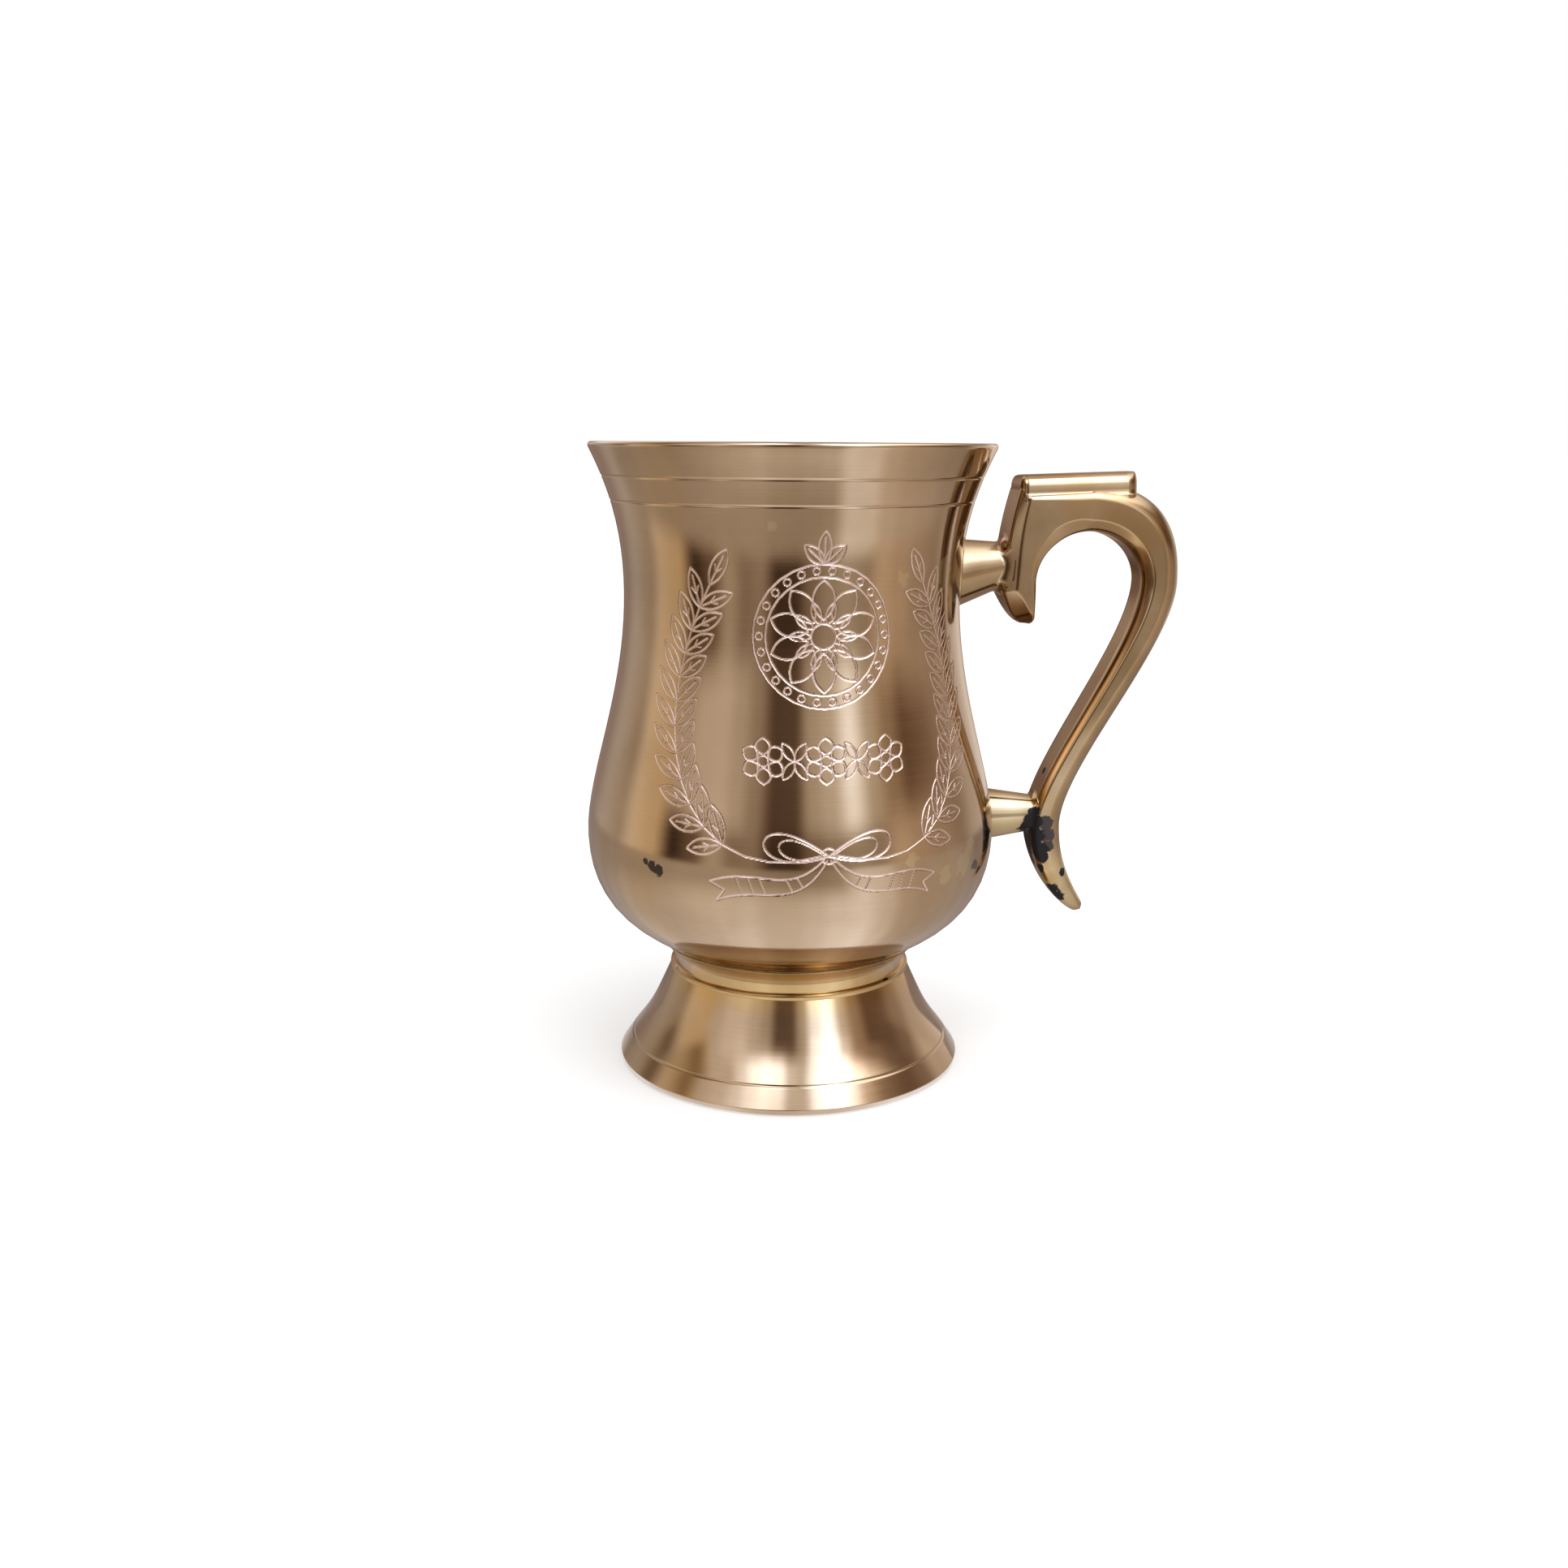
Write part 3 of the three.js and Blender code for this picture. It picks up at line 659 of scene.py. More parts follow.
def cell_faces(leaves, shape):
    """Faces over the cells as lattice places, with the corners of smaller neighbours put in."""
    used = np.zeros(shape, bool)
    corners = []
    for size, (column, row) in leaves.items():
        left, right = column * size, (column + 1) * size % shape[0]
        low, high = row * size, (row + 1) * size
        corners.append((size, left, right, low, high))
        for i, j in ((left, low), (right, low), (right, high), (left, high)):
            used[i, j] = True
    number = np.cumsum(used.ravel()).reshape(shape) - 1
    faces = []
    for size, left, right, low, high in corners:
        ring = [(left, low), (right, low), (right, high), (left, high)]
        if size > 1:
            middle, level = left + size // 2, low + size // 2
            halves = [(middle, low), (right, level), (middle, high), (left, level)]
            ring = [place for pair in zip(ring, halves) for place in pair]
        ids = np.column_stack([np.where(used[i, j], number[i, j], -1) for i, j in ring])
        faces += [[k for k in face if k >= 0] for face in ids.tolist()]
    return faces, used, number


def border_faces(used, number, above):
    """Faces from the lattice's top row to the ring above it, with the corners of split cells put in."""
    faces = []
    for k in range(COLUMNS):
        after = (k + 1) % COLUMNS
        stretch = np.s_[k * SPLIT:(k + 1) * SPLIT, -1]
        low = number[stretch][used[stretch]].tolist()
        faces.append(low + [int(number[after * SPLIT, -1]), int(above[after]), int(above[k])])
    return faces


def engraved_zone():
    """The stretch of the bowl's outline in which cells are split, in even steps."""
    low, high = seam_top_height + ZONE_ABOVE_SEAM, lower_line - ZONE_BELOW_LINE
    ends = [(bowl_radius(height), height) for height in (low, high)]
    zone = np.vstack([ends[0], between(bowl_outside, low, high), ends[1]])
    rows = round(lengths_along(zone)[-1] / ROOT_ROW)
    return even(zone, rows * SPLIT)


def bowl_below(zone_start):
    """The outline from the middle of the underside, over the spigot and the seam, to the zone."""
    spigot_inside = SPIGOT_RADIUS - SPIGOT_WALL
    spigot_base = SEAT_HEIGHT - SPIGOT_DEPTH
    return soften(np.array([
        (CAP_RADIUS, SEAT_HEIGHT),
        (spigot_inside, SEAT_HEIGHT),
        (spigot_inside, spigot_base),
        (SPIGOT_RADIUS, spigot_base),
        (SPIGOT_RADIUS, SEAT_HEIGHT),
        seam_root,
        seam_top,
        zone_start,
    ]), TURNED_ROUND)[:-1]


def bowl_above(zone_end):
    """The outline from the zone, over the turned lines and the lip, to the middle of the floor."""
    inside = bowl_outside - BOWL_WALL * side_normals(bowl_outside)
    lip_centre = (lip + inside[-1]) / 2
    floor_top = SEAT_HEIGHT + BOWL_FLOOR
    inside = even_step(inside[inside[:, 1] > floor_top + FLOOR_CORNER], INSIDE_STEP)
    floor_edge = inside[0] - (FLOOR_CORNER_LEAN * FLOOR_CORNER, FLOOR_CORNER)
    rim_band = between(bowl_outside, lower_line + LINE_MARGIN, upper_line - LINE_MARGIN)
    return soften(np.vstack([
        zone_end,
        turned_line(bowl_outside, lower_line),
        even_step(rim_band, RIM_BAND_STEP),
        turned_line(bowl_outside, upper_line),
        even_step(between(bowl_outside, upper_line + LINE_MARGIN, lip[1]), RIM_STEP),
        arc(lip_centre, LIP_SHARE * BOWL_WALL / 2, -RIM_FLARE_DEG, 180 - RIM_FLARE_DEG, steps=10),
        inside[-2:0:-1],
        bezier([inside[0], floor_edge + FLOOR_EASE, floor_edge - (FLOOR_CORNER, 0)], steps=6),
        [floor_edge[0] - FLOOR_BEND, floor_top],
        [CAP_RADIUS, floor_top],
    ]), TURNED_ROUND)[1:]


def make_bowl(material):
    zone = engraved_zone()
    angles = np.linspace(-math.pi, math.pi, COLUMNS * SPLIT, endpoint=False)
    depth, slope_round, slope_up, near = cut_strokes(angles, zone)
    faces, used, number = cell_faces(split_cells(near), depth.shape)
    column, row = np.nonzero(used)
    side = side_normals(zone)
    outward = spin(side[row, 0], side[row, 1], angles[column])
    around = spin(0 * angles[column] + 1, 0, angles[column] + math.pi / 2)
    upward = spin(-side[row, 1], side[row, 0], angles[column])
    wall = spin(zone[row, 0], zone[row, 1], angles[column]) - outward * depth[used][:, None]
    wall_normals = outward + around * slope_round[used][:, None] + upward * slope_up[used][:, None]
    wall_normals /= np.linalg.norm(wall_normals, axis=1)[:, None]

    below, above = bowl_below(zone[0]), bowl_above(zone[-1])
    below_normals = side_normals(np.vstack([below, zone[:1]]))[:-1]
    above_normals = side_normals(np.vstack([zone[-1:], above]))[1:]
    root_angles = angles[::SPLIT]
    vertices = np.vstack([wall, spun(below, root_angles), spun(above, root_angles)])
    normals = np.vstack([
        wall_normals, spun(below_normals, root_angles), spun(above_normals, root_angles),
    ])
    lower_rings = list(rings_of(len(below), COLUMNS, len(wall)))
    upper_rings = rings_of(len(above), COLUMNS, len(wall) + len(below) * COLUMNS)
    faces += border_faces(used, number, upper_rings[0])
    faces += strip_faces(lower_rings + [number[::SPLIT, 0]]) + strip_faces(upper_rings)
    faces += [lower_rings[0][::-1].tolist(), upper_rings[-1].tolist()]
    engraved = np.zeros(len(vertices))
    engraved[:len(wall)] = depth[used] / CUT_DEPTH
    return add_piece("bowl_turned", vertices, faces, "bowl", "turned_brass", material, normals, engraved)


# Foot and neck seam

def make_foot(material):
    foot_line = point(FOOT_LINE_RADIUS, FOOT_LINE_HEIGHT)
    bead_base = point(BEAD_RADIUS, BEAD_HEIGHT - BEAD_THICKNESS / 2)
    flare = eased(
        foot_line, 180 - FOOT_FLARE_DEG, FOOT_FLARE_EASE,
        bead_base, BEAD_LEAN_DEG - 90, BEAD_EASE, steps=40,
    )
    turn = np.linspace(0, math.pi, 11)[1:-1]
    bead = np.column_stack([
        BEAD_RADIUS + BEAD_SWELL * np.sin(turn),
        BEAD_HEIGHT - BEAD_THICKNESS / 2 * np.cos(turn),
    ])
    band = np.array([(FOOT_RADIUS, FOOT_EDGE_HEIGHT), foot_line])
    skin = np.vstack([band, flare[1:]])
    bore = SPIGOT_RADIUS + SPIGOT_CLEARANCE
    hollow = flare - FOOT_WALL * side_normals(flare)
    hollow = hollow[hollow[:, 0] > bore]
    ring_inner = FOOT_RADIUS - FOOT_EDGE_ROUND - BASE_RING_WIDTH
    outline = np.vstack([
        (ring_inner, 0),
        (FOOT_RADIUS - FOOT_EDGE_ROUND, 0),
        band[0],
        turned_line(skin, FOOT_LINE_HEIGHT),
        flare[flare[:, 1] > FOOT_LINE_HEIGHT + LINE_WIDTH],
        bead,
        even_step(between(collar, 0, seam_base_height - COLLAR_GAP), COLLAR_STEP),
        seam_base,
        seam_root,
        (bore, SEAT_HEIGHT),
        (bore, hollow[-1, 1]),
        hollow[::-1][1:],
        (ring_inner, 0),
    ])
    return turned_loop("foot_turned", outline, "foot", "turned_brass", material)


def make_neck_solder(material):
    top = seam_root + SOLDER_FILL * (seam_top - seam_root)
    bottom = seam_root + SOLDER_FILL * (seam_base - seam_root)
    inner = seam_root + (3 * SOLDER_CLEARANCE, 0)
    outline = np.array([inner, bottom + (0, SOLDER_CLEARANCE), top - (0, SOLDER_CLEARANCE), inner])
    return turned_loop("neck_seam", outline, "neck_solder", "soldered_seam", material)


# Handle

def strut_face(strut):
    """Where a strut's middle line meets the handle, as (distance from the axis, height)."""
    return point(bowl_radius(strut["height"]) + strut["reach"], strut["height"])


upper_face = strut_face(UPPER_STRUT)
lower_face = strut_face(LOWER_STRUT)
front_top = upper_face + (FRONT_LEAN, FRONT_RISE)


def handle_edges():
    """The inner and outer edge of each stretch of the handle, and its depths and bevels at both ends."""
    spring = upper_face + (FRONT_THICKNESS, -ARCH_SPRING_DROP)
    centre = spring + (ARCH_SPAN / 2, 0)
    crown = centre + (0, ARCH_RISE + ARCH_CROWN_THICKNESS)
    inner_side = centre + (ARCH_SPAN / 2, 0)
    outer_side = inner_side + (ARCH_SIDE_THICKNESS, 0)
    outer_hook = upper_face + (HOOK_REACH, -HOOK_DROP)
    inner_hook = outer_hook + (HOOK_TIP_WIDTH, 0)
    hook_turn = upper_face - (0, HOOK_TURN_DROP)
    inner_leg = lower_face - (0, LEG_END_DROP)
    outer_leg = inner_leg + (LEG_END_THICKNESS, 0)
    inner_tail = lower_face + (TAIL_REACH, -TAIL_DROP)
    outer_tail = along(inner_tail, TAIL_TIP_LEAN_DEG, TAIL_TIP_WIDTH)

    def arch(start_deg, end_deg):
        return centre + arc(point(0, 0), 1, start_deg, end_deg, EDGE_STEPS) * (ARCH_SPAN / 2, ARCH_RISE)

    hook = [outer_hook, point(hook_turn[0] + HOOK_REACH / 2, outer_hook[1]), hook_turn]
    front = [hook_turn, upper_face + (0, FRONT_UPRIGHT), front_top]
    return [
        (np.array([inner_hook, spring]), bezier(hook, EDGE_STEPS),
         (HOOK_TIP_DEPTH, FRONT_DEPTH), (HOOK_BEVELS, FRONT_BEVELS)),
        (arch(180, ARCH_CORNER_DEG), bezier(front, EDGE_STEPS),
         (FRONT_DEPTH, FRONT_DEPTH), (FRONT_BEVELS, FRONT_TOP_BEVELS)),
        (arch(ARCH_CORNER_DEG, 90), np.array([front_top, crown]),
         (FRONT_DEPTH, FRONT_DEPTH), (TOP_BEVELS, CROWN_BEVELS)),
        (arch(90, 0), eased(crown, 0, ARCH_EASE, outer_side, 90, ARCH_EASE),
         (FRONT_DEPTH, ARCH_DEPTH), (CROWN_BEVELS, ARCH_BEVELS)),
        (eased(inner_side, -90, LEG_EASE_ABOVE, inner_leg, 90, LEG_EASE_BELOW),
         eased(outer_side, -90, LEG_EASE_ABOVE, outer_leg, 90, LEG_EASE_BELOW),
         (ARCH_DEPTH, LEG_DEPTH), (ARCH_BEVELS, LEG_BEVELS)),
        (eased(inner_leg, -90, TAIL_EASE, inner_tail, TAIL_INNER_LEAN_DEG, TAIL_CURL),
         eased(outer_leg, -90, TAIL_EASE, outer_tail, TAIL_OUTER_LEAN_DEG, TAIL_CURL),
         (LEG_DEPTH, TAIL_TIP_DEPTH), (LEG_BEVELS, TAIL_BEVELS)),
    ]


def timed(chain, count):
    """A chain drawn evenly in time, at a count of equal steps of that time."""
    t = np.linspace(0, 1, len(chain))
    stops = np.linspace(0, 1, count + 1)
    return np.column_stack([np.interp(stops, t, column) for column in chain.T])


def handle_stations():
    """Rows of inner x and height, outer x and height, depth, and the values of the two bevels."""
    rows = []
    for inner, outer, depths, bevels in handle_edges():
        count = round(lengths_along(outer)[-1] / STATION_STEP)
        share = np.linspace(0, 1, count + 1)[:, None]
        swelling = 1 - (1 - share) ** 2 if depths[0] < depths[1] else share**TAPER_POWER
        depth = depths[0] + (depths[1] - depths[0]) * swelling
        turning = share**2 if bevels[0] is HOOK_BEVELS else share
        bevel = np.array(bevels[0]) + (np.array(bevels[1]) - bevels[0]) * turning
        stretch = np.hstack([timed(inner, count), timed(outer, count), depth, bevel])
        rows.append(stretch if not rows else stretch[1:])
    return np.vstack(rows)


def handle_section(station, tip_distance):
    """A bevelled section with rounded corners, drawn in near the handle's tips."""
    inner, outer = station[0:2], station[2:4]
    depth, inner_bevel, outer_bevel, inner_round, outer_round, slant, inner_slant = station[4:11]
    shrink = math.sqrt(max(SMALLEST_TIP, 1 - (1 - min(1, tip_distance / TIP_ROUND)) ** 2))
    middle = (inner + outer) / 2
    width = np.linalg.norm(outer - inner) * shrink
    across = (outer - inner) / np.linalg.norm(outer - inner)
    half = depth / 2 * shrink
    near = min(inner_bevel, 2 * LARGEST_BEVEL_SHARE * half)
    far = min(outer_bevel, 2 * LARGEST_BEVEL_SHARE * half)
    start = min(inner_slant * near, LARGEST_BEVEL_SHARE * width)
    ridge = width - min(slant * far, LARGEST_BEVELS_SHARE * width - start)
    corners = np.array([
        (0, near - half), (start, -half), (ridge, -half), (width, far - half),
        (width, half - far), (ridge, half), (start, half), (0, half - near),
    ])
    ring = []
    for k, here in enumerate(corners):
        rounding = (inner_round, INNER_LINE_ROUND, outer_round, outer_round)[min(k, 7 - k)]
        ends = []
        for leg in (corners[k - 1] - here, corners[(k + 1) % 8] - here):
            length = np.linalg.norm(leg)
            ends.append(here + leg * (min(rounding, LARGEST_CUT * length) / length))
        ring.extend(bezier([ends[0], here, ends[1]], CORNER_STEPS))
    ring = np.array(ring)
    place = middle + across * (ring[:, :1] - width / 2)
    return np.column_stack([place[:, 0], ring[:, 1], place[:, 1]])


def lofted(sections):
    """Vertices and faces of a row of sections, closed at both ends."""
    rings = rings_of(len(sections), len(sections[0]))
    faces = [rings[0].tolist(), rings[-1][::-1].tolist()]
    return np.vstack(sections), faces + strip_faces(rings, flipped=True)


def handle_body():
    stations = handle_stations()
    run = lengths_along((stations[:, 0:2] + stations[:, 2:4]) / 2)
    sections = []
    for station, distance in zip(stations, run):
        sections.append(handle_section(station, min(distance, run[-1] - distance)))
    return lofted(sections)


def thumb_levels():
    """Heights on the plate's side and how far it is inset there, from its hollow foot to its top."""
    turn = quarter(CORNER_STEPS)
    foot = zip(-THUMB_FLARE_START - THUMB_FLARE_DROP * np.cos(turn), -THUMB_FLARE * (1 - np.sin(turn)))
    edge = zip(THUMB_THICKNESS - THUMB_BEVEL * (1 - np.sin(turn)), THUMB_BEVEL * (1 - np.cos(turn)))
    return [(-THUMB_THICKNESS, -THUMB_FLARE), *foot, *edge]


def thumb_plan(inset):
    """The plate's outline with rounded corners; an inset below 0 widens it."""
    plan = []
    for side_x, side_y, start in ((1, 1, 0), (-1, 1, 90), (-1, -1, 180), (1, -1, 270)):
        end = THUMB_END if side_x > 0 else THUMB_FRONT
        length = THUMB_LENGTH / 2 - end["inset"] * max(inset, 0)
        width = THUMB_WIDTH / 2 - max(inset, 0) - end["flare"] * min(inset, 0)
        corner = np.maximum(end["corner"] - max(inset, 0) * point(end["inset"], 1), SMALLEST_CORNER)
        centre = point(side_x, side_y) * (point(length, width) - corner)
        plan.extend(centre + corner * arc(point(0, 0), 1, start, start + 90, ROUND_STEPS))
    return np.array(plan)


def thumb_rest():
    """A plate that is sunk in the handle's top."""
    ahead = along(point(0, 0), THUMB_RISE_DEG, 1)
    up = point(-ahead[1], ahead[0])
    sections = []
    for level, inset in thumb_levels():
        plan = thumb_plan(inset)
        flat = (plan[:, :1] + THUMB_LENGTH / 2) * ahead + level * up
        flat += front_top + (THUMB_SETBACK, 0)
        sections.append(np.column_stack([flat[:, 0], plan[:, 1], flat[:, 1]])[::-1])
    return lofted(sections)


def make_handle(material):
    """The handle's body and its thumb rest as one casting."""
    handle = add_piece("handle_cast", *handle_body(), "handle", "cast_brass", material)
    vertices, faces = thumb_rest()
    plate = new_object("plate", new_mesh("plate", vertices * MM, faces))
    union = handle.modifiers.new("union", "BOOLEAN")
    union.operation = "UNION"
    union.solver = "EXACT"
    union.object = plate
    graph = bpy.context.evaluated_depsgraph_get()
    joined = bpy.data.meshes.new_from_object(handle.evaluated_get(graph))
    handle.modifiers.clear()
    handle.data = joined
    bpy.data.objects.remove(plate)
    joined.shade_smooth()
    crease(joined)
    weighting = handle.modifiers.new("weighting", "WEIGHTED_NORMAL")
    weighting.keep_sharp = True
    return handle


# Struts, their solder and the fillets at the handle

def strut_radius(strut, reach):
    """The cone's radius at a distance from the handle."""
    share = np.clip(reach / strut["reach"], 0, None)
    return strut["radius"] + (strut["foot"] - strut["radius"]) * share


def strut_place(strut, reach, radius, angle):
    """A point of a strut from its distance to the handle, its radius and its angle."""
    face = strut_face(strut)
    sink = strut["drop"] * reach / strut["reach"]
    height = face[1] + radius * np.sin(angle) - sink
    return np.stack([face[0] - reach + 0 * angle, radius * np.cos(angle), height], -1)


def reach_to_bowl(strut, angle, gap):
    """How far a strut's side runs at each angle before it is a gap away from the bowl."""
    low, high = np.zeros(len(angle)), np.full(len(angle), 2.0 * strut["reach"])
    for _ in range(SEARCH_STEPS):
        middle = (low + high) / 2
        place = strut_place(strut, middle, strut_radius(strut, middle), angle)
        outside = np.hypot(place[:, 0], place[:, 1]) > bowl_radius(place[:, 2]) + gap
        low = np.where(outside, middle, low)
        high = np.where(outside, high, middle)
    return low


def make_strut(name, strut, node, material):
    angle = full_turn(STRUT_SEGMENTS)
    end = reach_to_bowl(strut, angle, SOLDER_THICKNESS / 4)
    sections = []
    for share in np.linspace(0, 1, STRUT_SECTIONS):
        reach = -STRUT_BURIED + (end + STRUT_BURIED) * share
        sections.append(strut_place(strut, reach, strut_radius(strut, reach), angle))
    return add_piece(name, *lofted(sections), node, "cast_brass", material)


def make_strut_solder(name, strut, node, material):
    """A rounded rim of solder between a strut's foot and the bowl."""
    angle = full_turn(STRUT_SEGMENTS)
    reach = reach_to_bowl(strut, angle, 0)
    foot = strut_radius(strut, reach)
    rim = sum((size * np.sin(count * angle + start) for size, count, start in SOLDER_WAVES), SOLDER_LAP)
    sections = []
    for lap, lift in SOLDER_SECTION:
        place = strut_place(strut, reach, foot + lap * rim, angle)
        surface = np.sqrt(np.clip(bowl_radius(place[:, 2]) ** 2 - place[:, 1] ** 2, 0, None))
        place[:, 0] = surface + lift * SOLDER_THICKNESS
        sections.append(place)
    faces = strip_faces(rings_of(len(sections), STRUT_SEGMENTS), closed=True)
    return add_piece(name, np.vstack(sections), faces, node, "soldered_seam", material)


def make_fillet(name, strut, node, on_outer_edge, material):
    """A hollow fillet between a strut and the edge of the handle that it meets."""
    stations = handle_stations()
    face = strut_face(strut)
    edge = stations[:, 2:4] if on_outer_edge else stations[:, 0:2]
    away = np.hypot(*(edge - face).T)
    depth, inner_bevel, outer_bevel, _, _, outer_slant, inner_slant = stations[np.argmin(away), 4:11]
    bevel, slant = (outer_bevel, outer_slant) if on_outer_edge else (inner_bevel, inner_slant)
    flat = depth / 2 - bevel
    edge = edge[away < FILLET_SEARCH * strut["radius"]]
    edge = edge[np.argsort(edge[:, 1])]
    angle = full_turn(STRUT_SEGMENTS)

    def base(radius):
        """The reach at which the handle's face lies, at a radius from the strut's middle line."""
        place = strut_place(strut, 0, radius, angle)
        setback = slant * np.clip(np.abs(place[:, 1]) - flat, 0, None)
        return face[0] - np.interp(place[:, 2], edge[:, 1], edge[:, 0]) - setback

    cosine = np.maximum(np.abs(np.cos(angle)), SMALLEST_COSINE)
    room = (depth / 2 - FILLET_MARGIN) / cosine - strut["radius"]
    fillet = np.clip(room, FILLET_MARGIN, strut["fillet"])
    widest = strut["radius"] + fillet
    inner = strut["radius"] - FILLET_OVERLAP
    sections = []
    for turn in quarter(ROUND_STEPS):
        flare = fillet * (1 - math.sin(turn))
        reach = base(strut["radius"] + flare) + fillet * (1 - math.cos(turn))
        sections.append(strut_place(strut, reach, strut_radius(strut, reach) + flare, angle))
    sections.append(strut_place(strut, base(inner) + fillet, inner, angle))
    sections.append(strut_place(strut, base(inner) - FILLET_BURIED, inner, angle))
    sections.append(strut_place(strut, base(widest) - FILLET_BURIED, widest, angle))
    faces = strip_faces(rings_of(len(sections), STRUT_SEGMENTS), flipped=True, closed=True)
    return add_piece(name, np.vstack(sections), faces, node, "cast_brass", material)


# Materials

BRASS_DEEP = (0.36, 0.235, 0.125, 1)
BRASS_PALE = (0.45, 0.305, 0.175, 1)
CAST_DEEP = (0.31, 0.195, 0.09, 1)
CAST_PALE = (0.41, 0.275, 0.145, 1)
ENGRAVED = (0.62, 0.43, 0.33, 1)
WORN = (0.56, 0.43, 0.22, 1)
TARNISH = (0.012, 0.009, 0.009, 1)
SCORCHED = (0.055, 0.042, 0.038, 1)
HEATED = (0.4, 0.23, 0.06, 1)
# Painted shade: a darker, warmer colour for the near face of the arch's top
ARCH_PAINTED_SHADE = (0.33, 0.17, 0.055, 1)
BARE = (0.58, 0.45, 0.25, 1)
SEAM_DEEP = (0.38, 0.25, 0.11, 1)
SEAM_PALE = (0.58, 0.4, 0.18, 1)
# Painted warm light: a golden band painted round the neck and the bowl's underside, rising and falling
# by height
NECK_PAINTED_LIGHT = (0.46, 0.28, 0.09, 1)
NECK_PAINTED_LIGHT_SHARE = 0.72
NECK_PAINTED_LIGHT_RISE = (17 * MM, 23 * MM)
NECK_PAINTED_LIGHT_FALL = (27 * MM, 42 * MM)
LACQUER = {"Coat Roughness": 0.12, "Coat IOR": 1.45}
MARKS_ROUND = 1.6
MARKS_PER_METRE = 4200.0
MARKS_SLANT = 0.7
MARKS_SHARE = 0.15
RAGGED_SCALE = 620.0
SPOT_CORE = 0.9
SPOT_EDGE = 0.25
SOFT_SPOT_CORE = 0.2


def new_material(name):
    material = bpy.data.materials.new(name)
    material.use_nodes = True
    tree = material.node_tree
    return material, tree, tree.nodes["Principled BSDF"]


def feed(tree, made, inputs):
    """Link or set inputs of a node."""
    for socket, value in inputs.items():
        if isinstance(value, bpy.types.NodeSocket):
            tree.links.new(value, made.inputs[socket])
        else:
            made.inputs[socket].default_value = value


def node(tree, kind, inputs=(), **settings):
    """A shader node with its settings made and its inputs linked or set."""
    made = tree.nodes.new("ShaderNode" + kind)
    for setting, value in settings.items():
        setattr(made, setting, value)
    feed(tree, made, dict(inputs))
    return made


def maths(tree, operation, first, second):
    return node(tree, "Math", {0: first, 1: second}, operation=operation).outputs[0]


def scaled(tree, value, share):
    return maths(tree, "MULTIPLY", value, share)


def added(tree, first, second):
    return maths(tree, "ADD", first, second)


def any_of(tree, masks):
    total = masks[0]
    for mask in masks[1:]:
        total = maths(tree, "MAXIMUM", total, mask)
    return total


def ramp(tree, value, low, high, start=0.0, end=1.0):
    """A value mapped smoothly from one range to another."""
    inputs = {"Value": value, "From Min": low, "From Max": high, "To Min": start, "To Max": end}
    return node(tree, "MapRange", inputs, interpolation_type="SMOOTHSTEP").outputs["Result"]


def mixed(tree, share, first, second):
    return node(tree, "Mix", {0: share, 6: first, 7: second}, data_type="RGBA").outputs[2]


def grain(tree, place, scale, detail):
    inputs = {"Vector": place, "Scale": scale, "Detail": detail}
    return node(tree, "TexNoise", inputs).outputs["Fac"]


def object_place(tree):
    return node(tree, "TexCoord").outputs["Object"]


def round_place(tree, place):
    """The three axes of a place, its level part and its distance from the upright axis."""
    axes = node(tree, "SeparateXYZ", {0: place}).outputs
    level = node(tree, "CombineXYZ", {"X": axes["X"], "Y": axes["Y"]}).outputs[0]
    return axes, level, node(tree, "VectorMath", {0: level}, operation="LENGTH").outputs["Value"]


def distance_to(tree, place, centre):
    """How far a place is from a centre in millimetres."""
    inputs = {0: place, 1: Vector(centre) * MM}
    return node(tree, "VectorMath", inputs, operation="DISTANCE").outputs["Value"]


def spots(tree, place, rows, ragged, raggedness):
    """1 inside ragged-edged balls, given as centre and radius in millimetres, 0 outside them."""
    masks = []
    for *centre, radius in rows:
        waver = scaled(tree, ragged, raggedness * radius * MM)
        wavering = added(tree, distance_to(tree, place, centre), waver)
        edge = (SPOT_CORE + raggedness / 2) * radius * MM
        masks.append(ramp(tree, wavering, edge, edge + SPOT_EDGE * radius * MM, 1.0, 0.0))
    return any_of(tree, masks)


def soft_spots(tree, place, rows):
    """1 in the middle of balls, falling off softly to 0 at their edges."""
    masks = []
    for *centre, radius in rows:
        distance = distance_to(tree, place, centre)
        masks.append(ramp(tree, distance, SOFT_SPOT_CORE * radius * MM, radius * MM, 1.0, 0.0))
    return any_of(tree, masks)


# Spots on the bowl's wall as turn from the front in degrees, height and radius
WORN_SPOTS = (
    (-13, 126.2, 1.0), (30, 115.2, 1.5), (51.2, 115.6, 3.4), (61, 112, 3.4), (46.2, 53.8, 2.6),
    (38, 52.6, 1.8), (26, 57.6, 1.4), (50, 57.5, 1.6),
)
DARK_SPECKS = (
    (-45.6, 55.2, 1.2), (-43.6, 54.5, 1.3), (-47.8, 55.8, 0.7), (52.8, 52.4, 1.1), (54.5, 51.6, 0.9),
)
SPOT_RAGGEDNESS = 2.2
WORN_SHARE = 0.38
SPECK_SHARE = 0.9
CUT_ROUGHNESS = 0.25
WORN_ROUGHNESS = 0.1


def bowl_spots(tree, place, rows, ragged):
    balls = [
        (*spin(bowl_radius(height), height, math.radians(turn)), radius)
        for turn, height, radius in rows
    ]
    return spots(tree, place, balls, ragged, SPOT_RAGGEDNESS)


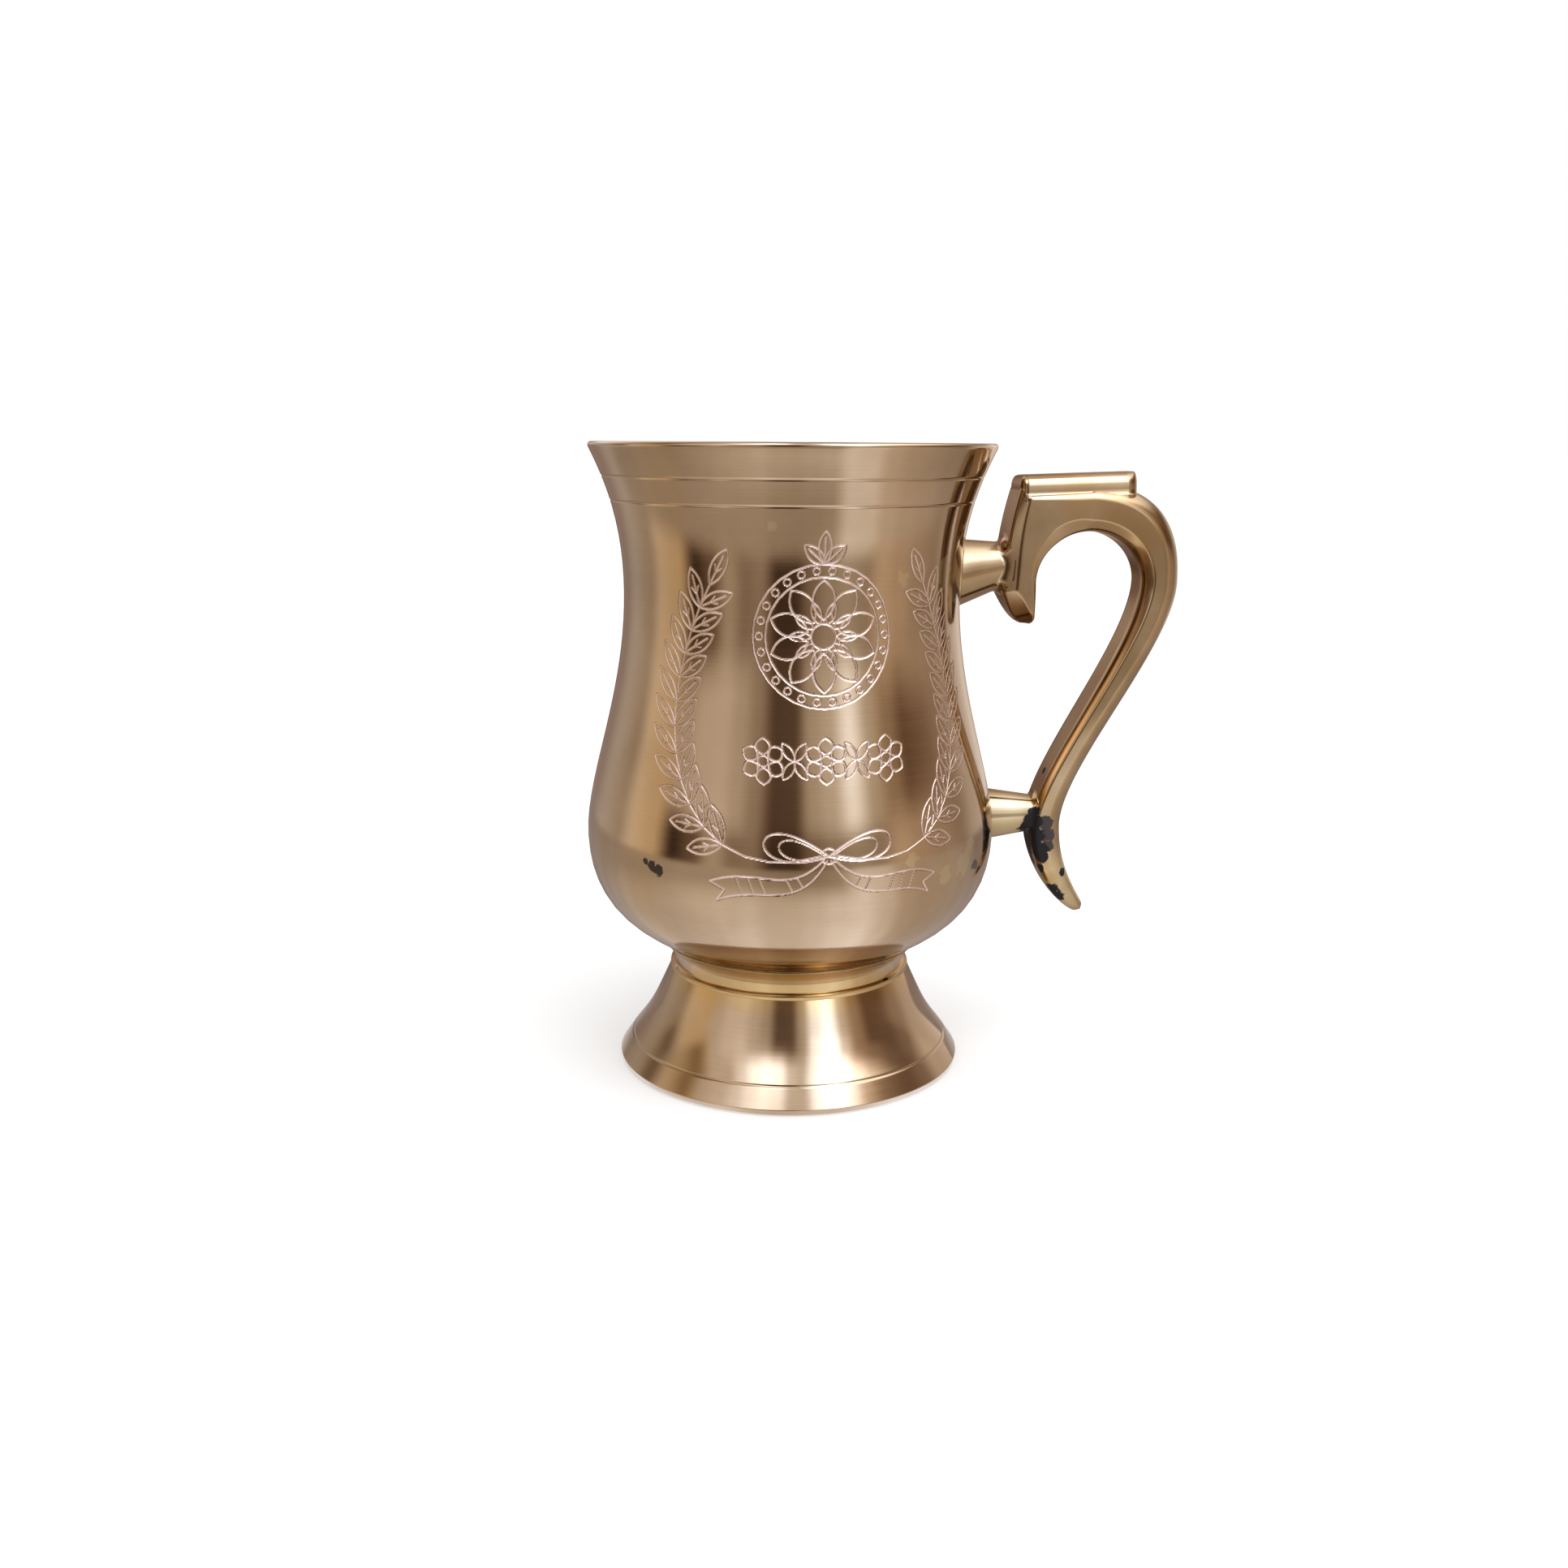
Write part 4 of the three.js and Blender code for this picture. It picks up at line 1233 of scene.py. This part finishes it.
def turning_marks(tree, axes, level, radius):
    """Grain drawn out into fine rings round the axis."""
    forward = node(tree, "VectorMath", {0: level}, operation="NORMALIZE").outputs[0]
    facing = node(tree, "SeparateXYZ", {0: forward}).outputs
    climb = added(tree, axes["Z"], scaled(tree, radius, MARKS_SLANT))
    rings = node(tree, "CombineXYZ", {
        "X": scaled(tree, facing["X"], MARKS_ROUND),
        "Y": scaled(tree, facing["Y"], MARKS_ROUND),
        "Z": scaled(tree, climb, MARKS_PER_METRE),
    }).outputs[0]
    return grain(tree, rings, scale=1.0, detail=4.0)


def worn(tree, place, colour, rough):
    """A wall's colour and roughness with its engraving, worn spots and dark specks."""
    cut = node(tree, "Attribute", attribute_name="engraved").outputs["Fac"]
    cut = ramp(tree, cut, 0.05, 0.75)
    ragged = grain(tree, place, scale=RAGGED_SCALE, detail=4.0)
    rubbed = bowl_spots(tree, place, WORN_SPOTS, ragged)
    specks = bowl_spots(tree, place, DARK_SPECKS, ragged)
    colour = mixed(tree, cut, colour, ENGRAVED)
    colour = mixed(tree, scaled(tree, rubbed, WORN_SHARE), colour, WORN)
    colour = mixed(tree, scaled(tree, specks, SPECK_SHARE), colour, TARNISH)
    extra = added(tree, scaled(tree, cut, CUT_ROUGHNESS), scaled(tree, rubbed, WORN_ROUGHNESS))
    return colour, added(tree, rough, extra)


def turned_brass(name, with_wear):
    """Lacquered brass with fine turning marks round the axis, and warm light painted round the neck and
    the bowl's underside.
    """
    material, tree, shader = new_material(name)
    place = object_place(tree)
    axes, level, radius = round_place(tree, place)
    marks = turning_marks(tree, axes, level, radius)
    clouds = grain(tree, place, scale=42.0, detail=4.0)
    smudges = grain(tree, place, scale=160.0, detail=5.0)
    tone = added(tree, scaled(tree, clouds, 1 - MARKS_SHARE), scaled(tree, marks, MARKS_SHARE))
    colour = mixed(tree, ramp(tree, tone, 0.3, 0.7), BRASS_DEEP, BRASS_PALE)
    # Painted warm light: the golden band fades in above the bead and out over the bowl's underside
    painted_light_fade = ramp(tree, axes["Z"], *NECK_PAINTED_LIGHT_FALL, 1.0, 0.0)
    neck_painted_light = scaled(tree, ramp(tree, axes["Z"], *NECK_PAINTED_LIGHT_RISE), painted_light_fade)
    colour = mixed(tree, scaled(tree, neck_painted_light, NECK_PAINTED_LIGHT_SHARE), colour, NECK_PAINTED_LIGHT)
    rough = ramp(tree, marks, 0.3, 0.7, 0.08, 0.11)
    rough = added(tree, rough, ramp(tree, smudges, 0.5, 0.8, 0.0, 0.03))
    if with_wear:
        colour, rough = worn(tree, place, colour, rough)
    bump = node(tree, "Bump", {"Height": marks, "Strength": 0.12, "Distance": 0.00002})
    tangent = node(tree, "Tangent", direction_type="RADIAL", axis="Z")
    feed(tree, shader, {
        "Base Color": colour, "Roughness": rough, "Normal": bump.outputs[0],
        "Tangent": tangent.outputs[0], "Metallic": 1.0, "Anisotropic": 0.5,
        "Anisotropic Rotation": 0.25, "Coat Weight": 0.3, **LACQUER,
    })
    return material


# Spots on the handle and the struts as a centre from the cup's axis and a radius
BURNT_SPOTS = (
    (56.6, -4.8, 60.2, 1.0), (57.0, -5.0, 58.2, 1.4), (56.8, -5.0, 55.8, 2.3), (55.4, -4.5, 54.2, 1.9),
    (57.2, -4.8, 52.2, 2.8), (58.3, -4.6, 49.2, 2.5), (59.5, -4.6, 47.2, 1.6), (59.2, -4.0, 44.0, 1.3),
    (62.7, -3.0, 38.7, 1.6), (64.3, -2.8, 36.9, 1.7), (65.2, -3.5, 43.0, 1.0), (60.4, 0.0, 67.2, 0.8),
    (56.6, -1.0, 52.0, 3.0), (56.6, 2.5, 51.4, 2.8), (57.6, 0.5, 48.0, 2.4), (58.6, 0.5, 45.2, 1.5),
)
SCORCHED_SPOTS = ((60.0, -5.0, 55.3, 1.9), (60.2, -5.0, 52.6, 2.1), (60.6, -5.0, 50.0, 1.6))
HEATED_SPOTS = ((59.4, -3.0, 45.4, 4.5), (61.0, -2.5, 41.4, 4.5), (58.8, -3.4, 62, 4))
# Painted shade: darker, warmer patches on the near face of the arch's top
ARCH_PAINTED_SHADE_SPOTS = ((64, -6, 131, 9), (72, -6, 129, 9), (79, -5, 122, 8))
BARE_SPOTS = ((51, -3, 57, 9), (63, -3, 42, 9), (66, -2, 36, 7))
SOFT_PATCHES = ((ARCH_PAINTED_SHADE_SPOTS, 0.6, ARCH_PAINTED_SHADE), (BARE_SPOTS, 0.85, BARE), (HEATED_SPOTS, 0.75, HEATED))
BURNT_RAGGEDNESS = 1.6
BURNT_ROUGHNESS = 0.3
DULL_RANGE = (0.2, 0.9)


def cast_brass(name):
    """Hand-polished cast brass, burnt black where the lower strut was brazed on, with painted shade on
    the arch's near face.
    """
    material, tree, shader = new_material(name)
    place = object_place(tree)
    clouds = grain(tree, place, scale=55.0, detail=4.0)
    waves = grain(tree, place, scale=70.0, detail=1.0)
    colour = mixed(tree, ramp(tree, clouds, 0.35, 0.68), CAST_DEEP, CAST_PALE)
    # Soft patches: painted shade on the arch, and bare brass and heat colour round the lower strut and
    # the tail
    for rows, share, tone in SOFT_PATCHES:
        patch = soft_spots(tree, place, rows)
        colour = mixed(tree, scaled(tree, patch, share), colour, tone)
    ragged = grain(tree, place, scale=RAGGED_SCALE, detail=4.0)
    burnt = spots(tree, place, BURNT_SPOTS, ragged, BURNT_RAGGEDNESS)
    scorched = spots(tree, place, SCORCHED_SPOTS, ragged, BURNT_RAGGEDNESS)
    colour = mixed(tree, scorched, colour, SCORCHED)
    colour = mixed(tree, burnt, colour, TARNISH)
    dulled = any_of(tree, [burnt, scorched])
    rough = ramp(tree, clouds, 0.35, 0.7, 0.12, 0.18)
    bump = node(tree, "Bump", {"Height": waves, "Strength": 0.3, "Distance": 0.0006})
    feed(tree, shader, {
        "Base Color": colour, "Normal": bump.outputs[0],
        "Roughness": added(tree, rough, scaled(tree, dulled, BURNT_ROUGHNESS)),
        "Metallic": ramp(tree, dulled, *DULL_RANGE, 1.0, 0.0),
        "Coat Weight": ramp(tree, dulled, *DULL_RANGE, 0.3, 0.02),
        "Specular IOR Level": 0.15, **LACQUER,
    })
    return material


def solder_metal(name):
    """Dull solder with dark flux in its hollows."""
    material, tree, shader = new_material(name)
    patches = grain(tree, object_place(tree), scale=420.0, detail=5.0)
    bump = node(tree, "Bump", {"Height": patches, "Strength": 0.4, "Distance": 0.0001})
    feed(tree, shader, {
        "Base Color": mixed(tree, ramp(tree, patches, 0.4, 0.62), SEAM_DEEP, SEAM_PALE),
        "Roughness": ramp(tree, patches, 0.35, 0.65, 0.55, 0.32),
        "Normal": bump.outputs[0], "Metallic": 1.0,
    })
    return material


# Stage, in metres: white floor, even light, and a surround that only the metal's reflections see

FLOOR_SIDE = 60.0
FLOOR_SINK = 0.00005
FLOOR_COLOUR = (0.8, 0.8, 0.8, 1)
FLOOR_ROUGHNESS = 0.9
FLOOR_GLOW = 0.24
WHITE = (1, 1, 1, 1)
WORLD_STRENGTH = 1.0
LAMP_SIZE = 0.9
LAMP_POWER = 4
LAMP_PLACE = Vector((0.25, -0.35, 1.1))
NEAREST_SEEN = 0.01

# Surround: what the metal mirrors, from the table near the cup to high up on a round wall
SURROUND_RADIUS = 0.72
SURROUND_TOP = 2.2
SURROUND_SEGMENTS = 60
SURROUND_SINK = 0.00002
EYE_LEVEL = 0.08
NEAR_TO_FAR = (0.1, 0.21)
FAR_TO_LOW = (0.32, 0.46)
WALL_BLENDS_DEG = ((2, 10), (15, 25), (25, 46))

# Brightness by azimuth in degrees, where 0 is the camera's side and right is positive:
# on the table near the cup and further off, low on the wall, at the bowl's height, above it, high up
BRIGHTNESS = (
    (-174, 0.15, 0.22, 0.16, 0.22, 0.30, 0.40),
    (-150, 0.24, 0.34, 0.36, 0.74, 1.50, 1.60),
    (-122, 0.50, 0.48, 0.68, 0.68, 0.90, 1.10),
    (-107, 0.64, 0.56, 0.65, 0.36, 0.70, 0.42),
    (-93, 0.88, 0.64, 1.10, 1.08, 0.85, 0.40),
    (-79, 0.94, 0.66, 1.00, 1.02, 0.50, 0.50),
    (-65, 0.95, 0.66, 0.08, 0.95, 1.05, 1.20),
    (-53, 1.05, 0.70, 0.24, 1.15, 1.30, 1.15),
    (-41, 1.15, 0.74, 0.78, 1.20, 1.42, 2.00),
    (-30, 1.30, 0.76, 0.48, 0.95, 1.10, 3.40),
    (-20, 1.45, 0.74, 0.55, 0.62, 0.85, 4.20),
    (-9, 1.25, 0.64, 0.10, 0.18, 0.22, 3.60),
    (2, 1.20, 0.60, 0.10, 0.20, 0.25, 1.60),
    (12, 1.30, 0.64, 0.40, 0.85, 0.90, 1.30),
    (23, 1.50, 0.72, 0.58, 1.08, 2.80, 2.80),
    (35, 1.60, 1.35, 0.70, 2.10, 4.50, 6.50),
    (48, 1.30, 1.30, 0.60, 1.00, 1.60, 6.00),
    (60, 0.97, 0.95, 0.95, 0.62, 0.66, 4.50),
    (73, 0.80, 0.82, 0.80, 0.25, 0.50, 3.20),
    (90, 0.70, 0.72, 0.66, 0.26, 0.34, 2.60),
    (105, 0.62, 0.60, 0.55, 0.40, 0.26, 2.20),
    (121, 0.48, 0.43, 0.82, 0.95, 0.50, 1.70),
    (148, 0.27, 0.38, 0.98, 1.15, 0.60, 1.00),
    (172, 0.18, 0.25, 0.25, 0.30, 0.40, 0.40),
)

# Colour of that light: shades are brown and bright windows cool, and a lamp on the left is warm
BRIGHTEST = 7.0
TINT_BY_BRIGHTNESS = (
    (0.12, (1.0, 0.72, 0.6)),
    (0.6, (1.0, 0.95, 0.94)),
    (1.0, (1.0, 1.03, 1.12)),
    (2.2, (1.0, 1.22, 1.7)),
)
TABLE_TINT = 0.35
TINT_BY_AZIMUTH = (
    (-172, (1.0, 0.78, 0.6)),
    (-146, (1.0, 0.92, 0.86)),
    (-125, (1.0, 0.98, 0.96)),
    (-104, (1.0, 0.96, 0.9)),
    (-90, (1.0, 0.86, 0.66)),
    (-76, (1.0, 0.84, 0.6)),
    (-64, (1.0, 0.96, 0.94)),
    (42, (1.0, 1.0, 1.0)),
    (62, (1.0, 0.86, 0.74)),
    (110, (1.0, 0.94, 0.88)),
    (145, (1.0, 0.88, 0.74)),
    (172, (1.0, 0.78, 0.6)),
)


def make_floor():
    """A white floor that glows a little for the camera, the metal and clear things."""
    half = FLOOR_SIDE / 2
    corners = [(-half, -half, 0), (half, -half, 0), (half, half, 0), (-half, half, 0)]
    mesh = new_mesh("floor", corners, [(0, 1, 2, 3)])
    material, tree, shader = new_material("floor_white")
    feed(tree, shader, {"Base Color": FLOOR_COLOUR, "Roughness": FLOOR_ROUGHNESS})
    path = node(tree, "LightPath").outputs
    seen = any_of(tree, [path["Is Camera Ray"], path["Is Glossy Ray"], path["Is Transmission Ray"]])
    lift = node(tree, "Emission", {"Strength": scaled(tree, seen, FLOOR_GLOW)})
    both = node(tree, "AddShader", {0: shader.outputs[0], 1: lift.outputs[0]})
    feed(tree, tree.nodes["Material Output"], {"Surface": both.outputs[0]})
    mesh.materials.append(material)
    floor = new_object("floor", mesh)
    floor.location = (0, 0, -FLOOR_SINK)


def make_world():
    world = bpy.data.worlds.new("studio")
    world.use_nodes = True
    bpy.context.scene.world = world
    background = world.node_tree.nodes["Background"]
    feed(world.node_tree, background, {"Color": WHITE, "Strength": WORLD_STRENGTH})


def colour_stops(tree, value, stops, interpolation):
    """A colour looked up between (place, colour) stops."""
    lookup = node(tree, "ValToRGB", {"Fac": value})
    band = lookup.color_ramp
    band.interpolation = interpolation
    while len(band.elements) < len(stops):
        band.elements.new(1.0)
    for stop, (place, colour) in zip(band.elements, stops):
        stop.position = place
        stop.color = (*colour, 1)
    return lookup.outputs["Color"]


def azimuth_place(degrees):
    return degrees / 360 + 0.5


def surround_light(tree):
    """Brightness and tint of the surround at a place on it."""
    axes, _, radius = round_place(tree, object_place(tree))
    turn = maths(tree, "ARCTAN2", axes["X"], scaled(tree, axes["Y"], -1.0))
    turn = added(tree, scaled(tree, turn, 0.5 / math.pi), 0.5)
    blends = [(radius, *NEAR_TO_FAR), (radius, *FAR_TO_LOW)]
    for pair in WALL_BLENDS_DEG:
        heights = [EYE_LEVEL + SURROUND_RADIUS * math.tan(math.radians(degrees)) for degrees in pair]
        blends.append((axes["Z"], *heights))
    levels = []
    for column in range(1, len(BRIGHTNESS[0])):
        stops = [(azimuth_place(row[0]), [row[column] / BRIGHTEST] * 3) for row in BRIGHTNESS]
        levels.append(colour_stops(tree, turn, stops, "EASE"))
    brightness = levels[0]
    for blend, level in zip(blends, levels[1:]):
        brightness = mixed(tree, ramp(tree, *blend), brightness, level)
    tints = [(place / BRIGHTEST, colour) for place, colour in TINT_BY_BRIGHTNESS]
    tint = colour_stops(tree, brightness, tints, "LINEAR")
    lamp_tints = [(azimuth_place(degrees), colour) for degrees, colour in TINT_BY_AZIMUTH]
    lamp_tint = colour_stops(tree, turn, lamp_tints, "EASE")
    lamp_tint = mixed(tree, ramp(tree, *blends[1], TABLE_TINT), WHITE, lamp_tint)
    tint = node(tree, "VectorMath", {0: tint, 1: lamp_tint}, operation="MULTIPLY").outputs[0]
    return scaled(tree, brightness, BRIGHTEST), tint


def make_surround():
    """A round table and wall of soft light and shade that only the metal's reflections see."""
    turns = full_turn(SURROUND_SEGMENTS)
    table, top = rings_of(2, SURROUND_SEGMENTS)
    corners = np.vstack([spin(SURROUND_RADIUS, height, turns) for height in (0, SURROUND_TOP)])
    mesh = new_mesh("surround", corners, ring_faces(top, table) + [table.tolist()])
    material, tree, _ = new_material("surround")
    brightness, tint = surround_light(tree)
    glow = node(tree, "Emission", {"Color": tint, "Strength": brightness})
    feed(tree, tree.nodes["Material Output"], {"Surface": glow.outputs[0]})
    mesh.materials.append(material)
    surround = new_object("surround", mesh)
    surround.location.z = -SURROUND_SINK
    surround.rotation_euler.z = math.radians(CAMERA_TURN_DEG)
    surround.visible_camera = False
    surround.visible_diffuse = False
    surround.visible_shadow = False
    surround.visible_transmission = False


def make_lamp():
    """One large soft lamp overhead, for the shadow under the cup."""
    data = bpy.data.lights.new("soft_top", "AREA")
    data.shape = "DISK"
    data.size = LAMP_SIZE
    data.energy = LAMP_POWER
    lamp = new_object("soft_top", data)
    lamp.location += LAMP_PLACE
    lamp.rotation_euler = (-LAMP_PLACE).to_track_quat("-Z", "Y").to_euler()
    lamp.visible_glossy = False


def make_camera():
    data = bpy.data.cameras.new("camera")
    data.sensor_width = SENSOR_WIDTH
    data.lens = SENSOR_WIDTH * FOCAL_PIXELS / PHOTO_PIXELS
    data.clip_start = NEAREST_SEEN
    camera = new_object("camera", data)
    axis = Matrix.Translation((AXIS_X, 0, 0))
    turn = Matrix.Rotation(math.radians(CAMERA_TURN_DEG), 4, "Z")
    place = Matrix.Translation((CAMERA_SIDE * MM, -CAMERA_DISTANCE * MM, CAMERA_HEIGHT * MM))
    pitch = Matrix.Rotation(math.radians(90 - CAMERA_PITCH_DEG), 4, "X")
    roll = Matrix.Rotation(math.radians(CAMERA_ROLL_DEG), 4, "Z")
    camera.matrix_world = axis @ turn @ place @ pitch @ roll
    bpy.context.scene.camera = camera


# Assembly

wall_brass = turned_brass("brass_engraved", True)
foot_brass = turned_brass("brass_turned", False)
handle_brass = cast_brass("brass_cast")
seam_metal = solder_metal("solder")

make_bowl(wall_brass)
make_foot(foot_brass)
make_neck_solder(seam_metal)
make_handle(handle_brass)
for place, strut, on_outer_edge in (("upper", UPPER_STRUT, True), ("lower", LOWER_STRUT, False)):
    make_strut(f"{place}_strut_cast", strut, f"{place}_strut", handle_brass)
    make_strut_solder(f"{place}_strut_seam", strut, f"{place}_strut_solder", seam_metal)
    make_fillet(f"{place}_strut_fillet", strut, f"{place}_strut_braze", on_outer_edge, handle_brass)

make_floor()
make_world()
make_surround()
make_lamp()
make_camera()
bpy.context.scene.view_settings.view_transform = "Standard"
